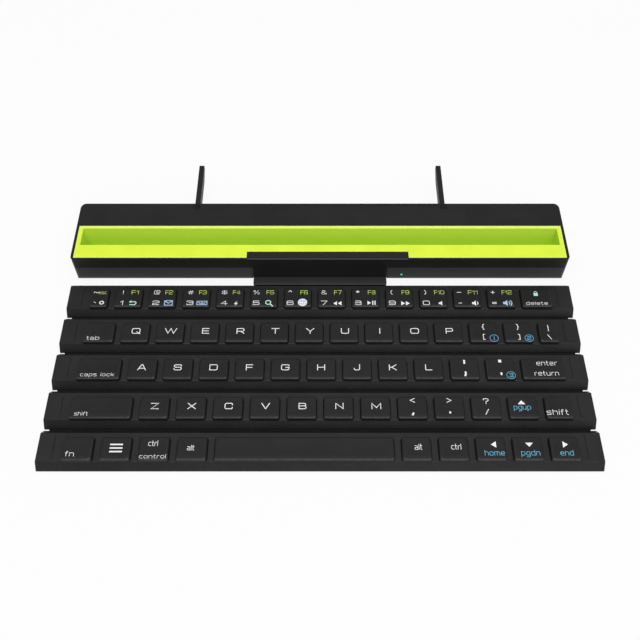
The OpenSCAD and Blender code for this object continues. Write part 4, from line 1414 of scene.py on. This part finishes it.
@dataclass
class KeyRow:
    """One rigid row: its shell, its tray and its keys.

    A key's width is its units times the pitch less the gap, and keys follow each other from the left end.
    """

    index: int
    units: list[float]
    own: dict[int, str]
    front: float
    gap: float = 3.65
    across: float = 13.8
    snug: float = 0.25

    def caps(self) -> list[Keycap]:
        """Returns the row's keycaps from left to right."""
        pitch = (KEYS_RIGHT - KEYS_LEFT + self.gap) / self.across
        edges = np.concatenate([[0], np.cumsum(self.units)]) * pitch + KEYS_LEFT
        widths = np.diff(edges) - self.gap
        middles = edges[:-1] + widths / 2
        front = self.front + KEY_FRONT - self.snug
        return [Keycap(float(x), front, float(w) + 2 * self.snug) for x, w in zip(middles, widths)]

    def lowered(self, points: np.ndarray) -> np.ndarray:
        """Moves the feet of the long bevels down to 1.3 mm.

        A point within the bevel's run of a long face, at height 2 + away * (top - 2) / run, goes to
        1.3 + away * (top - 1.3) / run.

        Args:
            points: the points in millimetres.

        Returns:
            The moved points.
        """
        y, z = points[:, 1], points[:, 2]
        away = np.minimum(y - self.front, self.front + ROW_DEPTH - y)
        old = PACKED_FOOT + away * (ROW_TOP - PACKED_FOOT) / KEY_FRONT
        new = SHOWN_FOOT + away * (ROW_TOP - SHOWN_FOOT) / KEY_FRONT
        on_bevel = (away <= KEY_FRONT + 0.01) & (np.abs(z - old) < ON_BEVEL)
        return np.column_stack([points[:, 0], y, np.where(on_bevel, new, z)])

    def build(self, finishes: Finishes, printing: Printing) -> None:
        """Builds the caps, prints them and softens the shell and tray.

        Args:
            finishes: the materials.
            printing: where the legends are gathered.
        """
        row = f"row_{self.index}"
        shared = Solid()
        for place, cap in enumerate(self.caps()):
            name = self.own.get(place)
            body = name or f"{row}_key_set"
            if name:
                alone = Solid()
                cap.add_to(alone)
                alone.piece(f"{name}_cap", finishes["key"], body, [name], "key_black")
            else:
                cap.add_to(shared)
            printing.print_on(cap, body, ROW_LEGENDS[self.index - 1][place])
        shared.piece(f"{row}_caps", finishes["key"], f"{row}_key_set", [f"{row}_keys"], "key_black")
        softened(
            f"{row}_frame", f"{row}_shell", finishes["row"], 0.14, reshape=self.lowered
        )
        softened(f"{row}_tray", f"{row}_underside", finishes["tray"], 0.12)
        dress(f"{row}_circuit", finishes["film"])
        dress(f"{row}_domes", finishes["dome"])


def dress(node: str, material: bpy.types.Material) -> None:
    """Gives a node that keeps its own shape its finish."""
    carried = frame["nodes"][node]
    if not carried.material_slots:
        carried.data.materials.append(material)
    for place in carried.material_slots:
        place.material = material


def softened(
    node: str,
    name: str,
    material: bpy.types.Material,
    width: float,
    segments: int = 3,
    reshape: Optional[Callable[[np.ndarray], np.ndarray]] = None,
) -> bpy.types.Object:
    """Copies a node's solid, joins its faces and rounds its sharp edges.

    Args:
        node: the node that is copied and replaced.
        name: the new piece's name.
        material: its finish.
        width: the width of the rounding, in millimetres.
        segments: how many steps the rounding has.
        reshape: moves the copied points, in millimetres, before the rounding.

    Returns:
        The new piece.
    """
    carried = frame["nodes"][node]
    mesh = bpy.data.meshes.new(name)
    shape = bmesh.new()
    shape.from_mesh(carried.data)
    bmesh.ops.remove_doubles(shape, verts=shape.verts, dist=WELD_REACH)
    bmesh.ops.join_triangles(
        shape, faces=shape.faces, angle_face_threshold=math.radians(0.5), angle_shape_threshold=math.pi
    )
    shape.to_mesh(mesh)
    shape.free()
    if reshape:
        points = np.empty(len(mesh.vertices) * 3, np.float32)
        mesh.vertices.foreach_get("co", points)
        points = reshape(points.reshape(-1, 3) / MM) * MM
        mesh.vertices.foreach_set("co", points.astype(np.float32).ravel())
        mesh.update()
    mesh.polygons.foreach_set("use_smooth", np.ones(len(mesh.polygons), bool))
    mesh.materials.clear()
    mesh.materials.append(material)
    made = bpy.data.objects.new(name, mesh)
    bpy.context.scene.collection.objects.link(made)
    rounding = made.modifiers.new("rounded_edges", "BEVEL")
    rounding.width = width * MM
    rounding.segments = segments
    rounding.limit_method = "ANGLE"
    rounding.angle_limit = SHARP_ANGLE
    rounding.use_clamp_overlap = False
    shading = made.modifiers.new("flat_faces", "WEIGHTED_NORMAL")
    shading.mode = "FACE_AREA"
    shading.weight = 100
    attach(made, carried["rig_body"])
    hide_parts(node)
    log.info("%s: %d points before rounding", name, len(mesh.vertices))
    return made


@dataclass
class HingeWeb:
    """A moulded rubber web across one hinge line, left on no body."""

    name: str
    node: str
    before: str
    after: str
    half_gap: float = 0.475
    top: float = 0.8
    under: float = 0.5
    ends: int = 3

    def build(self, finishes: Finishes) -> None:
        """Carries the web's section along X.

        The upper side dips in the middle as a cosine and the lower side bulges down as another cosine's
        half wave. Near both ends the section narrows, so that the web ends round.

        Args:
            finishes: the materials.
        """
        low, high = span(self.node)
        line, half_width = low[1] + BEAD_RADIUS, high[0]
        share = np.linspace(-1, 1, 13)
        upper = self.top - 0.16 * (1 + np.cos(share * math.pi)) / 2
        lower = self.under - 0.45 * np.cos(share * math.pi / 2)
        section_y = np.concatenate([share, share[::-1]]) * self.half_gap
        section_z = np.concatenate([lower, upper[::-1]])
        middle = 0.55
        taper = np.array([0.5, 0.85, 1.0])
        x = np.array([0.0, 0.12, 0.35])
        stations = np.concatenate([-half_width + x, half_width - x[::-1]])
        size = np.concatenate([taper, taper[::-1]])
        points = np.stack(
            [
                np.repeat(stations, len(section_y)),
                np.tile(line + section_y, len(stations)),
                middle + np.outer(size, section_z - middle).ravel(),
            ],
            -1,
        )
        solid = Solid()
        faces = closed_sleeve(len(stations), len(section_y))
        solid.add(points, faces)
        web = solid.piece(self.name, finishes["web"], None, [self.node], "strip_rubber", crease=60.0)
        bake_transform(web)


@dataclass
class Bar:
    """The bar: two shells, the groove's insert, the front cover and what stands inside and under it."""

    def build(self, finishes: Finishes) -> None:
        """Builds the bar's pieces.

        Args:
            finishes: the materials.
        """
        softened("bar_top_shell", "bar_upper_shell", finishes["bar_upper"], 0.22)
        softened("bar_base", "bar_lower_shell", finishes["bar_lower"], 0.22)
        softened("tablet_groove", "groove_insert", finishes["green"], 0.25, 4)
        softened("bridge_cover", "front_cover", finishes["cover"], 0.25, 4)
        softened("bar_feet", "foot_pads", finishes["foot"], 0.3)
        softened("bar_screws", "screws", finishes["screw"], 0.15)
        softened("arm_pivot_pins", "pivot_pins", finishes["pin"], 0.12)
        softened("charging_socket", "charging_port", finishes["socket"], 0.06)
        dress("bar_magnets", finishes["magnet"])
        dress("row_5_magnets", finishes["magnet"])
        dress("battery_cell", finishes["cell"])
        dress("battery_contacts", finishes["gilt"])
        dress("bar_circuit_board", finishes["board"])
        dress("status_light", finishes["lens"])
        self._light(finishes)

    def _light(self, finishes: Finishes) -> None:
        """Adds the light's lens: rings whose radius goes with the cosine and whose depth with the sine."""
        turn = np.linspace(0, math.pi / 2 * 0.94, 7)
        rings = lathe((0.0, 0.0), np.concatenate([[0.68], 0.68 * np.cos(turn)]),
                      np.concatenate([[-0.5], 0.22 * np.sin(turn)]), 24)
        points = np.stack([rings[:, 0] + LIGHT_X, BAR_FRONT + 0.02 - rings[:, 2], rings[:, 1] + LIGHT_Z], -1)
        solid = Solid()
        solid.add(points, closed_sleeve(8, 24))
        solid.piece("status_lens", finishes["lens"], "bar", slot="light_clear", crease=60.0)


@dataclass
class Studio:
    """Pale floor, soft lamps and the camera at the photograph's angle."""

    focal_pixels: float = 840.9
    frame_pixels: int = 640
    pitch: float = 55.7
    camera_y: float = BAR_FRONT - 270.8
    camera_z: float = 360.3
    ambient: float = 0.42

    def build(self) -> None:
        """Builds the camera, floor, world and lamps."""
        scene = bpy.context.scene
        scene.view_settings.view_transform = "Standard"
        lens = bpy.data.cameras.new("camera")
        lens.sensor_width = 36.0
        lens.lens = self.focal_pixels / self.frame_pixels * 36.0
        lens.clip_start = 0.01
        camera = bpy.data.objects.new("camera", lens)
        camera.location = (0.0, self.camera_y * MM, self.camera_z * MM)
        camera.rotation_euler = (math.radians(90 - self.pitch), 0, 0)
        scene.collection.objects.link(camera)
        scene.camera = camera
        self._world(scene)
        self._floor(scene)
        self._lamp("overhead_softbox", (0.0, -0.15, 1.25), (0.0, 0.0, 0.0), 1.1, 9.0)
        self._lamp("front_softbox", (0.35, -1.15, 0.75), (0.0, 0.0, 0.0), 0.8, 3.4)

    def _world(self, scene: bpy.types.Scene) -> None:
        """Lights everything evenly from all round, and shows white to the camera."""
        world = bpy.data.worlds.new("studio")
        world.use_nodes = True
        tree = world.node_tree
        background = tree.nodes["Background"]
        path = tree.nodes.new("ShaderNodeLightPath")
        seen = tree.nodes.new("ShaderNodeMath")
        seen.operation = "MAXIMUM"
        strength = tree.nodes.new("ShaderNodeMapRange")
        strength.inputs[3].default_value = self.ambient
        strength.inputs[4].default_value = 1.0
        tree.links.new(path.outputs["Is Camera Ray"], seen.inputs[0])
        tree.links.new(path.outputs["Is Transmission Ray"], seen.inputs[1])
        tree.links.new(seen.outputs[0], strength.inputs[0])
        tree.links.new(strength.outputs[0], background.inputs["Strength"])
        background.inputs["Color"].default_value = (1.0, 1.0, 1.0, 1.0)
        scene.world = world

    def _floor(self, scene: bpy.types.Scene) -> None:
        """Lays a white floor that shows the object's shadow faintly."""
        board = Board("floor_paper")
        rays = ("Is Camera Ray", "Is Glossy Ray")
        path = {name: board.node("ShaderNodeLightPath", output=name) for name in rays}
        seen = path["Is Camera Ray"].most(path["Is Glossy Ray"])
        paper = board.noise(30.0, 2.0)
        tint = board.mixed(paper * 0.1, tone(244, 244, 244), tone(236, 236, 236))
        diffuse = board.node("ShaderNodeBsdfDiffuse", None, {"Color": tint})
        white = board.node("ShaderNodeEmission", None, {"Color": (1.0, 1.0, 1.0, 1.0), "Strength": 1.0})
        board.node_output(board.node("ShaderNodeMixShader", None, {0: seen * 0.9, 1: diffuse, 2: white}))
        mesh = bpy.data.meshes.new("floor")
        mesh.from_pydata([(-4, -4, -1e-4), (4, -4, -1e-4), (4, 4, -1e-4), (-4, 4, -1e-4)], [], [(0, 1, 2, 3)])
        mesh.materials.append(board.material)
        floor = bpy.data.objects.new("floor", mesh)
        scene.collection.objects.link(floor)

    def _lamp(
        self,
        name: str,
        place: tuple[float, float, float],
        aim: tuple[float, float, float],
        size: float,
        power: float,
    ) -> None:
        """Hangs one square softbox.

        Args:
            name: its name.
            place: where it hangs, in metres.
            aim: the point that it faces.
            size: its side.
            power: its power in watts.
        """
        light = bpy.data.lights.new(name, "AREA")
        light.size = size
        light.energy = power
        lamp = bpy.data.objects.new(name, light)
        lamp.location = place
        way = np.array(place) - np.array(aim)
        flat = math.hypot(way[0], way[1])
        lamp.rotation_euler = (math.atan2(flat, way[2]), 0, math.atan2(way[0], -way[1]))
        bpy.context.scene.collection.objects.link(lamp)


def build_rows(finishes: Finishes) -> None:
    """Builds the five rows and the webs between them.

    Args:
        finishes: the materials.
    """
    across = 13.8
    units = [
        [0.715, *[1.0] * 12, across - 12.715],
        [1.06, *[1.0] * 12, across - 13.06],
        [1.405, *[1.0] * 11, across - 12.405],
        [1.875, *[1.0] * 11, across - 12.875],
        [*[1.0] * 4, across - 4 - 5 * 0.975, *[0.975] * 5],
    ]
    own = [
        {13: "delete_key"},
        {0: "tab_key"},
        {0: "caps_lock_key", 12: "enter_key"},
        {0: "left_shift_key", 11: "up_arrow_key", 12: "right_shift_key"},
        {0: "fn_key", 4: "space_key", 7: "left_arrow_key", 8: "down_arrow_key", 9: "right_arrow_key"},
    ]
    printing = Printing()
    for index in range(1, 6):
        front = ROW_FRONT + (5 - index) * ROW_PITCH
        KeyRow(index, units[index - 1], own[index - 1], front).build(finishes, printing)
        if index < 5:
            HingeWeb(
                f"hinge_web_{index}_{index + 1}", f"hinge_strip_{index}_{index + 1}",
                f"row_{index}", f"row_{index + 1}",
            ).build(finishes)
    printing.pieces(finishes)


def main() -> None:
    """Builds the keyboard, sub-assembly by sub-assembly, and its studio."""
    logging.basicConfig(level=logging.INFO, format="%(message)s")
    Studio().build()
    finishes = Finishes()
    Bar().build(finishes)
    for side in ("left", "right"):
        softened(f"{side}_stand_arm", f"{side}_arm_blade", finishes["arm"], 0.3, 4)
    softened("bridge_link", "bridge_flap", finishes["bridge"], 0.2)
    HingeWeb("bridge_rear_web", "bridge_rear_strip", "bar", "bridge").build(finishes)
    HingeWeb("bridge_front_web", "bridge_front_strip", "bridge", "row_1").build(finishes)
    build_rows(finishes)


if __name__ == "__main__":
    main()
